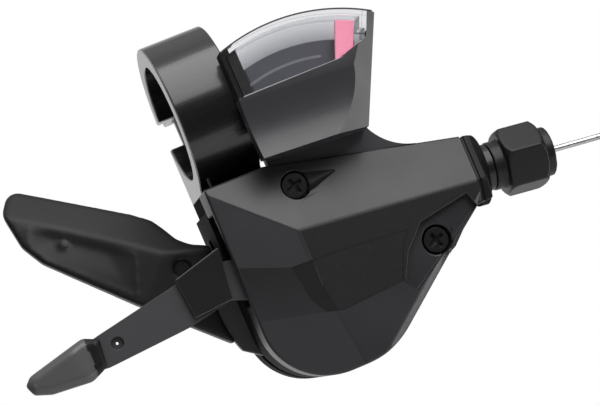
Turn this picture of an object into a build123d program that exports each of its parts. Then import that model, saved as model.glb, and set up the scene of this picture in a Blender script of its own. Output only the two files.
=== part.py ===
"""Trigger gear shifter for a flat handlebar, in millimetres.

The origin is the centre of the handlebar clamp. +X runs along the bar towards the cable exit,
+Z is up, towards the gear display, and -Y is the front, where the cover is.
"""
from build123d import *
import os
from math import atan2, cos, degrees, radians, sin, tan

# Handlebar clamp
BAR_RADIUS = 11.1
BAR_FIT = 0.05
BAND_THICKNESS = 3.6
BAND_WIDTH = 12.0
CLAMP_GAP = 5.6
GAP_CENTRE = -0.5
LUG_WIDTH = 8.0
LUG_HEIGHT = 6.0
BOLT_RADIUS = 2.5
BOLT_CLEARANCE = 0.2
BOLT_HEAD_RADIUS = 4.2
BOLT_HEAD = 4.0
BOLT_SOCKET = 4.0
FOOT_BOTTOM = 18.0
FOOT_FRONT = 4.6
FOOT_REAR = 12.4
FOOT_SCREW_Y = 1.5
FOOT_SCREW_RADIUS = 2.0
FOOT_SCREW_DEPTH = 5.0
FOOT_SCREW_HEAD_RADIUS = 3.6
FOOT_SCREW_HEAD = 2.2

# Main axle, about which the levers and the drum turn
AXLE_X = 10.5
AXLE_Z = -36.0
AXLE_RADIUS = 3.0
AXLE_FIT = 0.06
AXLE_HEAD_RADIUS = 4.4
AXLE_HEAD = 0.8

# Stack along the axle, from the rear bracket forward
BRACKET_REAR = 9.2
PLATE = 2.0
BRACKET_SHOULDER = 6.5
BRACKET_RIGHT = 12.0
BRACKET_TOE = 3.5
BRACKET_HEEL = 7.0
BRACKET_DROP = 14.8
SIDE_PLAY = 0.2
LEVER_SPRING_WIDTH = 1.2
RATCHET_THICKNESS = 1.4
DRUM_WIDTH = 7.0
NEEDLE_GAP = 0.8
NEEDLE_THICKNESS = 1.1
RELEASE_GAP = 0.7
RELEASE_PLATE = 1.5
RELEASE_SPRING_WIDTH = 0.9
CLIP_THICKNESS = 0.6

# Drum, ratchets and pawls
CABLE_RADIUS_ON_DRUM = 10.2
DRUM_FLANGE_RADIUS = 12.0
GROOVE_PLAY = 0.15
CLICKS = 7
RATCHET_TEETH = 24
RATCHET_TIP = 10.6
RATCHET_ROOT = 9.3
HUB_SQUARE = 7.4
HUB_FIT = 0.05
PAWL_PLAY = 0.2
PAWL_PIN_RADIUS = 1.2
PAWL_PIN_SHOULDER = 1.9
PAWL_FIT = 0.05
PAWL_EYE = 2.2
PAWL_REACH = 24.0
WINDING_PAWL_ANGLE = 20.0
HOLDING_PAWL_ANGLE = -88.0
SPRING_STRIP = 0.45
SPRING_TURNS = 3
SPRING_PLAY = 0.4
SPRING_ROOM_INNER = 4.4
SPRING_ROOM_OUTER = 7.2
SPRING_ROOM_DEPTH = 1.6

# Cable
WIRE_RADIUS = 0.6
CABLE_DROP = 7.5
CABLE_HEAD_RADIUS = 2.0
CABLE_HEAD_LENGTH = 3.6
CABLE_HEAD_FIT = 0.05
CABLE_WRAP = 42.0

# Body shells
WALL = 2.0
SPLIT_Y = -5.0
SHELL_LEFT = -6.8
SHELL_TOP = -14.8
SHELL_TOP_BEND = 4.9
SHELL_BOTTOM = -54.2
SHELL_BOTTOM_RIGHT = 13.5
SHELL_LOW_LEFT_ROUND = 12.0
SHELL_LOW_RIGHT_ROUND = 16.0
SHELL_ELBOW_X = 38.2
SHELL_ELBOW_Z = -36.2
REAR_TAPER_START = 24.0
REAR_TAPER_SLOPE = 0.42
STANDOFF_RADIUS = 2.2

# Front facets: the apex where they meet, then slope along X, slope along Z and forward shift of each
APEX_X = 5.2
APEX_Y = -17.0
APEX_Z = -27.8
CROWN = (0.150, 0.390, 0.0)
CHEEK = (-0.312, -0.069, 0.0)
FACE = (0.096, -0.060, 0.0)
JAW = (-0.351, -0.121, -0.55)

# Recesses in the cover
PANEL_DEPTH = 0.5
PANEL = [
    (1.9, -33.4), (12.0, -34.0), (24.2, -35.2), (22.0, -38.2),
    (19.6, -43.4), (7.4, -43.9), (4.6, -43.0), (2.9, -40.0),
]
POCKET_FLOOR = -12.1
POCKET_SKIN = 1.2
POCKET = [(36.9, -33.4), (26.9, -34.9), (22.6, -38.9), (20.3, -43.1), (21.3, -46.2), (37.9, -36.2)]
SCREW_RADIUS = 1.5
SCREW_FIT = 0.05
SCREW_HEAD_RADIUS = 2.3
SCREW_HEAD = 1.8
SCREW_HEAD_PLAY = 0.4
SCREW_LENGTH = 9.0
SCREW_POST = 2.5
SCREW_BOSS = 3.7
SCREW_LAND = 1.2
UPPER_SCREW = (8.8, -20.2)
UPPER_SEAT = -10.6
LOWER_SCREW = (28.9, -39.0)
LOWER_SEAT = -9.8
CROSS_WIDTH = 0.7
CROSS_SPAN = 3.0
CROSS_DEPTH = 1.0
TEARDROP_TIP = (16.6, -20.3)
TEARDROP_END = 0.2
RELEASE_SLOT_TOP = -19.4
RELEASE_SLOT_STEP = -31.5
RELEASE_SLOT_BOTTOM = -36.6

# Thumb lever
LEVER_TRAVEL = 40.0
LEVER_HUB = 6.8
LEVER_ARM_WIDTH = 9.0
LEVER_ARM_ANGLE = 160.0
LEVER_ARM_LENGTH = 31.0
LEVER_SLOT_PLAY = 0.6
LEVER_HEEL_ANGLE = 201.0
LEVER_HEEL_SPREAD = 10.0
LEVER_HEEL_REACH = 19.3
PADDLE = [
    (-37.0, 1.8), (-39.9, -2.6), (-38.9, -9.8), (-36.6, -14.2), (-23.7, -28.4), (-7.6, -44.4),
    (-7.2, -23.3), (-10.4, -21.7), (-12.3, -19.8), (-13.6, -16.8), (-14.8, -14.5), (-17.5, -12.0),
]
PADDLE_TIP_ROUND = 2.4
PADDLE_ROOT_RADIUS = 21.2
PADDLE_SKIN = 1.2
PADDLE_ROOT = 5.6
PADDLE_TIP = 4.4
PADDLE_AXIS = (-8.0, -33.0)
PADDLE_ANGLE = 137.0
PADDLE_FLAT = 14.0
PADDLE_LENGTH = 48.0
PADDLE_TIP_Y = 14.2
PADDLE_TWIST = 16.0
PADDLE_HOLLOW = 0.6
PADDLE_FIT = 0.05
PADDLE_FIELD = [(-36.8, -6.6), (-24.4, -16.4), (-20.4, -19.6), (-23.4, -27.2), (-36.0, -14.3), (-37.7, -9.6)]
PADDLE_BAND = (-33.4, 9.0, -7.4)
PADDLE_BAND_NORMAL = (0.187, -0.773, 0.606)
PIP = (-31.8, -12.4)
PIP_RADIUS = 0.75
RIVET_INSET = 4.6
RIVET_TURN = 4.1
RIVET_RADIUS = 1.5

# Release lever
RELEASE_HUB = 6.0
RELEASE_ARM = [
    (8.0, -30.6), (-8.0, -27.6), (-17.2, -28.0), (-33.2, -30.9), (-44.2, -33.2), (-44.4, -35.6),
    (-33.6, -36.9), (-18.1, -36.0), (-9.4, -34.4), (8.0, -41.4),
]
RELEASE_HOLE = (-30.8, -33.5)
RELEASE_HOLE_RADIUS = 1.15
RELEASE_HOLE_DEPTH = 0.9
RELEASE_HOLE_THROUGH = 0.55
RELEASE_FLANGE = 4.5
RELEASE_FLANGE_ENDS = (-32.6, -18.6)
TAB_INNER = 12.4
TAB_OUTER = 13.6
TAB_START = -46.0
TAB_END = -36.0
SHROUD = [(-8.0, -24.9), (-17.4, -27.3), (-16.7, -34.9), (-9.2, -34.4)]
SHROUD_THICKNESS = 1.2
CAP = [
    (-33.4, -31.6), (-36.2, -30.3), (-46.9, -32.9), (-48.2, -34.2),
    (-47.4, -36.2), (-44.5, -37.3), (-37.2, -38.0), (-34.0, -36.6),
]
CAP_THICKNESS = 5.4
CAP_FIT = 0.05
CAP_ROUND = 1.0

# Gear display
POD_FRONT = -19.5
POD_REAR = -12.0
POD_WALL = 1.6
POD_BACK = 1.0
POD_FACE = 2.0
POD_LEFT = 4.4
POD_STEP = -15.3
POD_ARC_RADIUS = 34.3
POD_RIGHT_ANGLE = 31.8
POD_RIGHT_FOOT = (25.4, -14.7)
POD_SILL = -3.0
POD_SILL_BEND = 23.5
POD_SILL_RIGHT = -1.0
POD_FLOOR_LEFT = -14.2
POD_FLOOR_SLOPE = -0.07
POD_FLOOR = 1.0
DISH = (12.0, -9.3)
DISH_HALF = 5.5
DISH_DEPTH = 1.0
DISH_TILT = 4.3
BEVEL_CORNER = (19.2, -14.0)
BEVEL_NORMAL = (0.494, -0.793, -0.359)
BEVEL_WALL = 0.8
NECK_LEFT = 6.6
NECK_REAR = -5.6
NECK_FRONT = -10.4
NECK_TOP = -8.0
NECK_TOE = 33.0
BAR_ROOM = 1.0
CHAMBER_PLAY = 0.5
LUG_LEFT = 6.5
LUG_RIGHT = 12.2
LENS_WALL = 1.2
LENS_FIT = 0.05
SCALE_MARGIN = 4.7
SCALE_BOTTOM = -8.0
SCALE_THICKNESS = 1.2

# Needle
NEEDLE_X = 15.4
NEEDLE_Z = -26.6
NEEDLE_ANGLE = 22.9
NEEDLE_SWING = 32.0
NEEDLE_PIN_RADIUS = 1.2
NEEDLE_PIN_FIT = 0.05
NEEDLE_PIN_HEAD = 2.0
NEEDLE_BOSS = 3.0
NEEDLE_HUB = 2.6
NEEDLE_ARM = 1.9
NEEDLE_CRANK = 14.4
NEEDLE_CRANK_HEIGHT = 1.3
NEEDLE_FLAG_START = 21.0
NEEDLE_TIP_PLAY = 0.45
NEEDLE_FLAG_WIDTH = 3.3
NEEDLE_FLAG_FRONT = -16.6
NEEDLE_TAIL = 5.5
NEEDLE_TAIL_ANGLE = 180.0
PEG_RADIUS = 0.8
PEG_PLAY = 0.15
CAM_DEPTH = 1.2

# Barrel adjuster, by stations along the cable from the drum
BOSS_END = 30.8
BOSS_RADIUS = 6.2
BOSS_LENGTH = 9.0
BOSS_FIT = 0.1
COLLAR_RADIUS = 6.7
COLLAR = 1.6
SLEEVE_RADIUS = 2.6
SLEEVE_FIT = 0.08
SLEEVE_BORE = 1.1
SLEEVE_INSET = 7.0
KNOB_GAP = 2.1
KNOB_NECK = 2.2
KNOB_NECK_RADIUS = 4.6
KNOB_LENGTH = 7.8
KNOB_FLATS = 11.6
KNOB_CHAMFER = 0.9
KNOB_CLOCK = 9.0
KNOB_RING = 1.9
KNOB_RING_RADIUS = 4.7
WASHER_OUTER = 4.4
WASHER_INNER = 3.0

# Free cable and its coil
FREE_RUN = 15.0
FREE_BEND = 10.0
COIL_RADIUS = 12.2
COIL_BUNDLE = 3.7
COIL_SIDES = 12
TIE_ANGLE = 250.0
TIE_PLAY = 0.3
TIE_THICKNESS = 0.5
TIE_WIDTH = 3.0

# Places along the axle that follow from the stack
BRACKET_FRONT = BRACKET_REAR - PLATE
LEVER_REAR = BRACKET_FRONT - LEVER_SPRING_WIDTH - 2 * SIDE_PLAY
LEVER_FRONT = LEVER_REAR - PLATE
WINDING_REAR = LEVER_FRONT - SIDE_PLAY
HOLDING_REAR = WINDING_REAR - RATCHET_THICKNESS
DRUM_REAR = HOLDING_REAR - RATCHET_THICKNESS
DRUM_FRONT = DRUM_REAR - DRUM_WIDTH
NEEDLE_REAR = DRUM_FRONT - NEEDLE_GAP
NEEDLE_FRONT = NEEDLE_REAR - NEEDLE_THICKNESS
RELEASE_REAR = NEEDLE_FRONT - RELEASE_GAP
RELEASE_FRONT = RELEASE_REAR - RELEASE_PLATE
CLIP_REAR = RELEASE_FRONT - RELEASE_SPRING_WIDTH - 2 * SIDE_PLAY
CLIP_FRONT = CLIP_REAR - CLIP_THICKNESS
SPRING_ROOM_FLOOR = DRUM_REAR - SPRING_ROOM_DEPTH
CABLE_Y = (DRUM_REAR + DRUM_FRONT) / 2
BACK_INNER = BRACKET_REAR + AXLE_HEAD + SIDE_PLAY
BACK_OUTER = BACK_INNER + WALL

# Sizes that follow from the ones above
BORE_RADIUS = BAR_RADIUS + BAR_FIT
BAND_RADIUS = BORE_RADIUS + BAND_THICKNESS
BOLT_Y = FOOT_REAR + BOLT_HEAD_RADIUS + SIDE_PLAY
AXLE_BORE = AXLE_RADIUS + AXLE_FIT
PAWL_ORBIT = RATCHET_TIP + PAWL_PLAY + PAWL_EYE
GROOVE_ROOT = CABLE_RADIUS_ON_DRUM - WIRE_RADIUS - GROOVE_PLAY
HEAD_ORBIT = DRUM_FLANGE_RADIUS - CABLE_HEAD_RADIUS - 0.4
CLICK_ANGLE = 360 / RATCHET_TEETH
DRUM_TRAVEL = CLICKS * CLICK_ANGLE
NEEDLE_RATIO = NEEDLE_SWING / DRUM_TRAVEL
NEEDLE_PIN_END = NEEDLE_FRONT - 3.5
NOTCH_FRONT = NEEDLE_FRONT - 1.2
NEEDLE_LENGTH = POD_ARC_RADIUS - LENS_WALL - LENS_FIT - NEEDLE_TIP_PLAY
SCALE_RADIUS = POD_ARC_RADIUS - SCALE_MARGIN
NOTCH_RIGHT = NEEDLE_X + 6.2
CHAMBER_RIGHT = NEEDLE_X + 8.0
KNOB_START = BOSS_END + COLLAR + KNOB_GAP
KNOB_HEX = KNOB_START + KNOB_NECK
KNOB_HEX_END = KNOB_HEX + KNOB_LENGTH
CABLE_EXIT = KNOB_HEX_END + KNOB_RING

# The cable leaves the drum at the top and runs down a little towards its exit
CABLE_X = cos(radians(CABLE_DROP))
CABLE_Z = -sin(radians(CABLE_DROP))
TANGENT_X = AXLE_X - CABLE_Z * CABLE_RADIUS_ON_DRUM
TANGENT_Z = AXLE_Z + CABLE_X * CABLE_RADIUS_ON_DRUM
TANGENT_ANGLE = 90 - CABLE_DROP


def slab(face, rear, front):
    """Solid between two Y levels, from a flat shape drawn in X and Z."""
    return extrude(Plane.XZ.offset(-rear) * face, amount=rear - front)


def disc(x, z, radius, rear, front):
    """Round plate across Y."""
    return slab(Pos(x, z) * Circle(radius), rear, front)


def ring(x, z, outer, inner, rear, front):
    """Round plate across Y with a hole."""
    return slab(Pos(x, z) * (Circle(outer) - Circle(inner)), rear, front)


def polygon(points):
    """Flat shape from its corners."""
    return make_face(Polyline(*points, close=True))


def strip(start, end, width):
    """Flat bar between two points."""
    length = ((end[0] - start[0]) ** 2 + (end[1] - start[1]) ** 2) ** 0.5
    angle = degrees(atan2(end[1] - start[1], end[0] - start[0]))
    return Pos(*start) * Rot(0, 0, angle) * Rectangle(length, width, align=(Align.MIN, Align.CENTER))


def polar(centre, radius, angle):
    """Point in X and Z at a distance and angle from a centre."""
    return (centre[0] + radius * cos(radians(angle)), centre[1] + radius * sin(radians(angle)))


def about_axle(radius, angle):
    """Point in X and Z at a distance and angle from the main axle."""
    return polar((AXLE_X, AXLE_Z), radius, angle)


def about_needle(radius, angle):
    """Point in X and Z at a distance and angle from the needle's pin."""
    return polar((NEEDLE_X, NEEDLE_Z), radius, angle)


def cable_point(station, rise=0.0):
    """Point in X and Z on the cable's line, or a distance above it."""
    return (TANGENT_X + CABLE_X * station - CABLE_Z * rise, TANGENT_Z + CABLE_Z * station + CABLE_X * rise)


def along_cable(face, start, end):
    """Solid of a flat shape carried along the cable's line between two stations."""
    x, z = cable_point(start)
    plane = Plane(origin=(x, CABLE_Y, z), x_dir=(0, -1, 0), z_dir=(CABLE_X, 0, CABLE_Z))
    return extrude(plane * face, amount=end - start)


def half_space(origin, normal):
    """Large block on the outer side of a plane."""
    block = Box(200, 200, 60, align=(Align.CENTER, Align.CENTER, Align.MIN))
    return Plane(origin=origin, z_dir=normal) * block


def sector(radius, start, end):
    """Pie slice in X and Z about the axle."""
    first, last = about_axle(radius, start), about_axle(radius, end)
    arc = ThreePointArc(first, about_axle(radius, (start + end) / 2), last)
    centre = (AXLE_X, AXLE_Z)
    return make_face([Line(centre, first), arc, Line(last, centre)])


def clock_spring(inner, outer, rear, front):
    """Strip wound round the axle from an inner to an outer radius."""
    steps = 10 * SPRING_TURNS
    points = []
    for i in range(steps + 1):
        points.append(about_axle(inner + (outer - inner) * i / steps, 360 * SPRING_TURNS * i / steps))
    return slab(trace(Spline(*points), line_width=SPRING_STRIP), rear, front)


def shell_outline():
    """Outline of the body in X and Z, with the boss for the cable at its right end."""
    corners = [
        (SHELL_LEFT, SHELL_TOP),
        (SHELL_LEFT, SHELL_BOTTOM),
        (SHELL_BOTTOM_RIGHT, SHELL_BOTTOM),
        (SHELL_ELBOW_X, SHELL_ELBOW_Z),
        cable_point(BOSS_END, -BOSS_RADIUS),
        cable_point(BOSS_END, BOSS_RADIUS),
        (SHELL_TOP_BEND, SHELL_TOP),
    ]
    face = polygon(corners)
    low_left = face.vertices().sort_by_distance((SHELL_LEFT, SHELL_BOTTOM, 0))[0]
    face = fillet(low_left, SHELL_LOW_LEFT_ROUND)
    low_right = face.vertices().sort_by_distance((SHELL_BOTTOM_RIGHT, SHELL_BOTTOM, 0))[0]
    return fillet(low_right, SHELL_LOW_RIGHT_ROUND)


def shell_face(inset):
    """Outline of the body, moved inward all round."""
    face = shell_outline()
    return offset(face, amount=-inset) if inset else face


def top_edge(x):
    """Height of the body's top edge at a place along X."""
    end_x, end_z = cable_point(BOSS_END, BOSS_RADIUS)
    return SHELL_TOP + (end_z - SHELL_TOP) * (x - SHELL_TOP_BEND) / (end_x - SHELL_TOP_BEND)


def front_blank(inset=0.0):
    """Solid front half of the body: the outline cut by the four facets."""
    blank = slab(shell_face(inset), SPLIT_Y, APEX_Y - WALL)
    for slope_x, slope_z, shift in (CROWN, CHEEK, FACE, JAW):
        normal = Vector(slope_x, -1, slope_z).normalized()
        origin = Vector(APEX_X, APEX_Y + shift, APEX_Z) - normal * inset
        blank -= half_space(origin, normal)
    return blank


def on_crown(x, z):
    """Point of the cover's upper facet."""
    return Vector(x, APEX_Y + CROWN[0] * (x - APEX_X) + CROWN[1] * (z - APEX_Z), z)


def rear_blank(inset=0.0):
    """Solid rear half of the body, tapered behind the cable boss."""
    blank = slab(shell_face(inset), BACK_OUTER - inset, SPLIT_Y)
    normal = Vector(REAR_TAPER_SLOPE, 1, 0).normalized()
    return blank - half_space(Vector(REAR_TAPER_START, BACK_OUTER, 0) - normal * inset, normal)


def clamp_band():
    """Extruded clamp: ring, foot for the bracket, and two lugs behind for the bolt."""
    gap_top = GAP_CENTRE + CLAMP_GAP / 2
    gap_bottom = GAP_CENTRE - CLAMP_GAP / 2
    lug_end = BOLT_Y + BOLT_HEAD_RADIUS
    foot = Pos(-FOOT_FRONT, 0) * Rectangle(FOOT_FRONT + FOOT_REAR, FOOT_BOTTOM, align=(Align.MIN, Align.MAX))
    behind = Pos(FOOT_REAR, gap_top) * Rectangle(BAND_RADIUS, 2 * BAND_RADIUS, align=(Align.MIN, Align.MAX))
    gap = Pos(0, GAP_CENTRE) * Rectangle(2 * BAND_RADIUS, CLAMP_GAP, align=(Align.MIN, Align.CENTER))
    face = Circle(BAND_RADIUS) + foot - Circle(BORE_RADIUS) - behind - gap
    band = extrude(Plane.YZ.offset(-BAND_WIDTH / 2) * face, amount=BAND_WIDTH)
    lug_length = lug_end - FOOT_REAR + BAND_THICKNESS
    start = FOOT_REAR - BAND_THICKNESS
    upper = Pos(start, gap_top) * Rectangle(lug_length, LUG_HEIGHT, align=(Align.MIN, Align.MIN))
    lower = Pos(start, gap_bottom) * Rectangle(lug_length, LUG_HEIGHT, align=(Align.MIN, Align.MAX))
    lugs = extrude(Plane.YZ.offset(-LUG_WIDTH / 2) * (upper + lower - Circle(BORE_RADIUS)), amount=LUG_WIDTH)
    up = (Align.CENTER, Align.CENTER, Align.MIN)
    bolt_hole = Cylinder(BOLT_RADIUS + BOLT_CLEARANCE, 2 * LUG_HEIGHT + CLAMP_GAP, align=up)
    foot_hole = Cylinder(FOOT_SCREW_RADIUS + SCREW_FIT, FOOT_SCREW_DEPTH, align=up)
    band = band + lugs - Pos(0, BOLT_Y, gap_bottom - LUG_HEIGHT) * bolt_hole
    return band - Pos(0, FOOT_SCREW_Y, -FOOT_BOTTOM) * foot_hole


def socket_screw(radius, length, head_radius, head, socket):
    """Hex socket screw along Z with its head below and its seat at zero."""
    body = Cylinder(radius, length, align=(Align.CENTER, Align.CENTER, Align.MIN))
    body += Cylinder(head_radius, head, align=(Align.CENTER, Align.CENTER, Align.MAX))
    key = extrude(RegularPolygon(socket / 2, 6, major_radius=False), amount=head / 2)
    return body - Pos(0, 0, -head) * key


def clamp_bolt():
    """Bolt that closes the clamp, put in from below."""
    seat = GAP_CENTRE - CLAMP_GAP / 2 - LUG_HEIGHT
    length = 2 * LUG_HEIGHT + CLAMP_GAP + 1
    return Pos(0, BOLT_Y, seat) * socket_screw(BOLT_RADIUS, length, BOLT_HEAD_RADIUS, BOLT_HEAD, BOLT_SOCKET)


def foot_screw():
    """Screw that holds the bracket under the clamp foot."""
    length = PLATE + FOOT_SCREW_DEPTH - SIDE_PLAY
    radius, head = FOOT_SCREW_RADIUS, FOOT_SCREW_HEAD_RADIUS
    screw = socket_screw(radius, length, head, FOOT_SCREW_HEAD, BOLT_SOCKET * 0.75)
    return Pos(0, FOOT_SCREW_Y, -FOOT_BOTTOM - PLATE) * screw


def base_bracket():
    """Stamped steel plate with a flange bent forward under the clamp foot."""
    left = SHELL_LEFT + WALL + SIDE_PLAY
    right = BAND_WIDTH / 2 - SIDE_PLAY
    shoulder = -FOOT_BOTTOM - BRACKET_SHOULDER
    side, heel, bottom = AXLE_X + BRACKET_RIGHT, AXLE_Z - BRACKET_HEEL, AXLE_Z - BRACKET_DROP
    corners = [
        (left, -FOOT_BOTTOM), (right, -FOOT_BOTTOM), (right, shoulder), (side, shoulder), (side, heel),
        (AXLE_X + BRACKET_TOE, bottom), (AXLE_X - BRACKET_TOE, bottom), (left, heel),
    ]
    bracket = slab(polygon(corners), BRACKET_REAR, BRACKET_FRONT)
    flange = Pos(left, -FOOT_BOTTOM) * Rectangle(right - left, PLATE, align=(Align.MIN, Align.MAX))
    bracket += slab(flange, BRACKET_FRONT, SIDE_PLAY - FOOT_FRONT)
    bracket -= disc(AXLE_X, AXLE_Z, AXLE_RADIUS, BRACKET_REAR, BRACKET_FRONT)
    bracket -= disc(*about_axle(PAWL_ORBIT, HOLDING_PAWL_ANGLE), PAWL_PIN_RADIUS, BRACKET_REAR, BRACKET_FRONT)
    hole = Cylinder(FOOT_SCREW_RADIUS + BOLT_CLEARANCE, PLATE, align=(Align.CENTER, Align.CENTER, Align.MAX))
    return bracket - Pos(0, FOOT_SCREW_Y, -FOOT_BOTTOM) * hole


def main_axle():
    """Pin riveted into the bracket, with a groove for the clip at its front end."""
    axle = disc(AXLE_X, AXLE_Z, AXLE_RADIUS, BRACKET_REAR, CLIP_FRONT - CLIP_THICKNESS)
    axle += disc(AXLE_X, AXLE_Z, AXLE_HEAD_RADIUS, BRACKET_REAR + AXLE_HEAD, BRACKET_REAR)
    return axle - ring(AXLE_X, AXLE_Z, AXLE_RADIUS + 1, AXLE_RADIUS - CLIP_THICKNESS, CLIP_REAR, CLIP_FRONT)


def axle_clip():
    """Open retaining clip in the axle's groove."""
    throat = AXLE_RADIUS - CLIP_THICKNESS
    mouth = Pos(AXLE_RADIUS, 0) * Rectangle(2 * AXLE_RADIUS, 2 * throat)
    face = Circle(AXLE_RADIUS + 1.6) - Circle(throat) - mouth
    return slab(Pos(AXLE_X, AXLE_Z) * face, CLIP_REAR, CLIP_FRONT)


def axle_spacer():
    """Bush between the drum and the release lever, beside the needle's tail."""
    rear, front = DRUM_FRONT - SIDE_PLAY / 2, RELEASE_REAR + SIDE_PLAY / 2
    return ring(AXLE_X, AXLE_Z, AXLE_RADIUS + 1, AXLE_RADIUS, rear, front)


def screw_places():
    """Place and seat of the two cover screws."""
    return ((UPPER_SCREW, UPPER_SEAT), (LOWER_SCREW, LOWER_SEAT))


def rear_case():
    """Moulded rear shell with the cable boss, screw posts and standoffs for the bracket."""
    case = rear_blank() - rear_blank(WALL)
    room = Box(BAND_WIDTH / 2 + SIDE_PLAY - SHELL_LEFT + 1, 40, 40, align=(Align.MIN, Align.MIN, Align.MIN))
    case -= Pos(SHELL_LEFT - 1, SPLIT_Y, -FOOT_BOTTOM - PLATE - SIDE_PLAY) * room
    for x, z in ((AXLE_X + 9.0, AXLE_Z + 8.5), (AXLE_X + 9.5, AXLE_Z - 5.5), (AXLE_X - 3.0, AXLE_Z - 11.5)):
        case += disc(x, z, STANDOFF_RADIUS, BACK_INNER, BRACKET_REAR)
    body = rear_blank() + front_blank(WALL + SIDE_PLAY)
    for (x, z), seat in screw_places():
        case += disc(x, z, SCREW_POST, BACK_OUTER, seat + 2 * SCREW_LAND) & body
        case -= disc(x, z, SCREW_RADIUS + SCREW_FIT, seat + SCREW_LENGTH, seat)
    case += along_cable(Circle(BOSS_RADIUS), BOSS_END - BOSS_LENGTH, BOSS_END)
    case += along_cable(Circle(COLLAR_RADIUS), BOSS_END, BOSS_END + COLLAR)
    case -= along_cable(Circle(SLEEVE_RADIUS + SLEEVE_FIT), BOSS_END - SLEEVE_INSET, BOSS_END + COLLAR)
    case -= along_cable(Circle(SLEEVE_BORE), BOSS_END - BOSS_LENGTH, BOSS_END)
    half_arm = degrees(atan2(LEVER_ARM_WIDTH / 2 + LEVER_SLOT_PLAY, AXLE_X - SHELL_LEFT - WALL))
    play = degrees(atan2(LEVER_SLOT_PLAY, AXLE_X - SHELL_LEFT - WALL))
    last = LEVER_HEEL_ANGLE + LEVER_HEEL_SPREAD + LEVER_TRAVEL + play
    sweep_face = sector(2 * PADDLE_ROOT_RADIUS, LEVER_ARM_ANGLE - half_arm, last)
    return case - slab(sweep_face, LEVER_REAR + LEVER_SLOT_PLAY, LEVER_FRONT - LEVER_SLOT_PLAY)


def front_cover():
    """Moulded cover of four flat facets, with a sunk panel and a pocket round the lower screw."""
    deep = APEX_Y - WALL
    solid = front_blank()
    cover = solid - front_blank(WALL)
    cover += slab(offset(polygon(POCKET), amount=POCKET_SKIN), POCKET_FLOOR + POCKET_SKIN, deep) & solid
    for (x, z), seat in screw_places():
        cover += disc(x, z, SCREW_BOSS, seat + SCREW_LAND, deep) & solid
    cover += disc(NEEDLE_X, NEEDLE_Z, NEEDLE_BOSS, NEEDLE_FRONT - SIDE_PLAY, deep) & solid
    cover -= slab(polygon(POCKET), POCKET_FLOOR, deep)
    cover -= slab(polygon(PANEL), SPLIT_Y, deep) - front_blank(PANEL_DEPTH)
    head_room = SCREW_HEAD_RADIUS + SCREW_HEAD_PLAY
    start, tip = on_crown(*UPPER_SCREW), on_crown(*TEARDROP_TIP)
    run = tip - start
    groove = Cone(head_room, TEARDROP_END, run.length, align=(Align.CENTER, Align.CENTER, Align.MIN))
    cover -= Plane(origin=start, z_dir=run) * groove
    for (x, z), seat in screw_places():
        cover -= disc(x, z, head_room, seat, deep)
        cover -= disc(x, z, SCREW_RADIUS + BOLT_CLEARANCE, SPLIT_Y, deep)
    cover -= disc(NEEDLE_X, NEEDLE_Z, NEEDLE_PIN_RADIUS, SPLIT_Y, NEEDLE_PIN_END)
    cover -= along_cable(Circle(BOSS_RADIUS + BOSS_FIT), BOSS_END - BOSS_LENGTH - BOSS_FIT, BOSS_END + COLLAR)
    for top, bottom, front in (
            (RELEASE_SLOT_TOP, RELEASE_SLOT_STEP, RELEASE_FRONT - SHROUD_THICKNESS - SIDE_PLAY),
            (RELEASE_SLOT_STEP, RELEASE_SLOT_BOTTOM, RELEASE_FRONT - SIDE_PLAY)):
        slot = Pos(SHELL_LEFT, bottom) * Rectangle(4 * WALL, top - bottom, align=(Align.CENTER, Align.MIN))
        cover -= slab(slot, SPLIT_Y, front)
    left = LUG_LEFT - SIDE_PLAY
    notch = Pos(left, -24) * Rectangle(NOTCH_RIGHT - left, 12, align=(Align.MIN, Align.MIN))
    return cover - slab(notch, SPLIT_Y, NOTCH_FRONT)


def cover_screws():
    """Two cross-head screws that hold the cover to the rear case."""
    screws = []
    for (x, z), seat in screw_places():
        screw = disc(x, z, SCREW_RADIUS, seat + SCREW_LENGTH - SCREW_LAND, seat)
        screw += disc(x, z, SCREW_HEAD_RADIUS, seat, seat - SCREW_HEAD)
        cross = Rectangle(CROSS_SPAN, CROSS_WIDTH) + Rectangle(CROSS_WIDTH, CROSS_SPAN)
        cross = Pos(x, z) * Rot(0, 0, 20) * cross
        screws.append(screw - slab(cross, seat - SCREW_HEAD + CROSS_DEPTH, seat - SCREW_HEAD))
    return Compound(children=screws)


def pod_right_line():
    """Foot and top of the display's leaning right end."""
    return POD_RIGHT_FOOT, about_needle(POD_ARC_RADIUS, 90 - POD_RIGHT_ANGLE)


def pod_outline():
    """Front outline of the gear display: flat floor, leaning right end and a round top."""
    foot, right_top = pod_right_line()
    rise = (POD_ARC_RADIUS ** 2 - (POD_LEFT - NEEDLE_X) ** 2) ** 0.5
    left_top = (POD_LEFT, NEEDLE_Z + rise)
    left_angle = degrees(atan2(rise, POD_LEFT - NEEDLE_X))
    middle = about_needle(POD_ARC_RADIUS, (90 - POD_RIGHT_ANGLE + left_angle) / 2)
    arc = ThreePointArc(right_top, middle, left_top)
    slope = (right_top[1] - foot[1]) / (right_top[0] - foot[0])
    fall = POD_FLOOR_LEFT - POD_FLOOR_SLOPE * POD_LEFT - foot[1] + slope * foot[0]
    toe_x = fall / (slope - POD_FLOOR_SLOPE)
    toe = (toe_x, POD_FLOOR_LEFT + POD_FLOOR_SLOPE * (toe_x - POD_LEFT))
    floor = (POD_LEFT, POD_FLOOR_LEFT)
    return make_face([Line(floor, toe), Line(toe, right_top), arc, Line(left_top, floor)])


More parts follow.
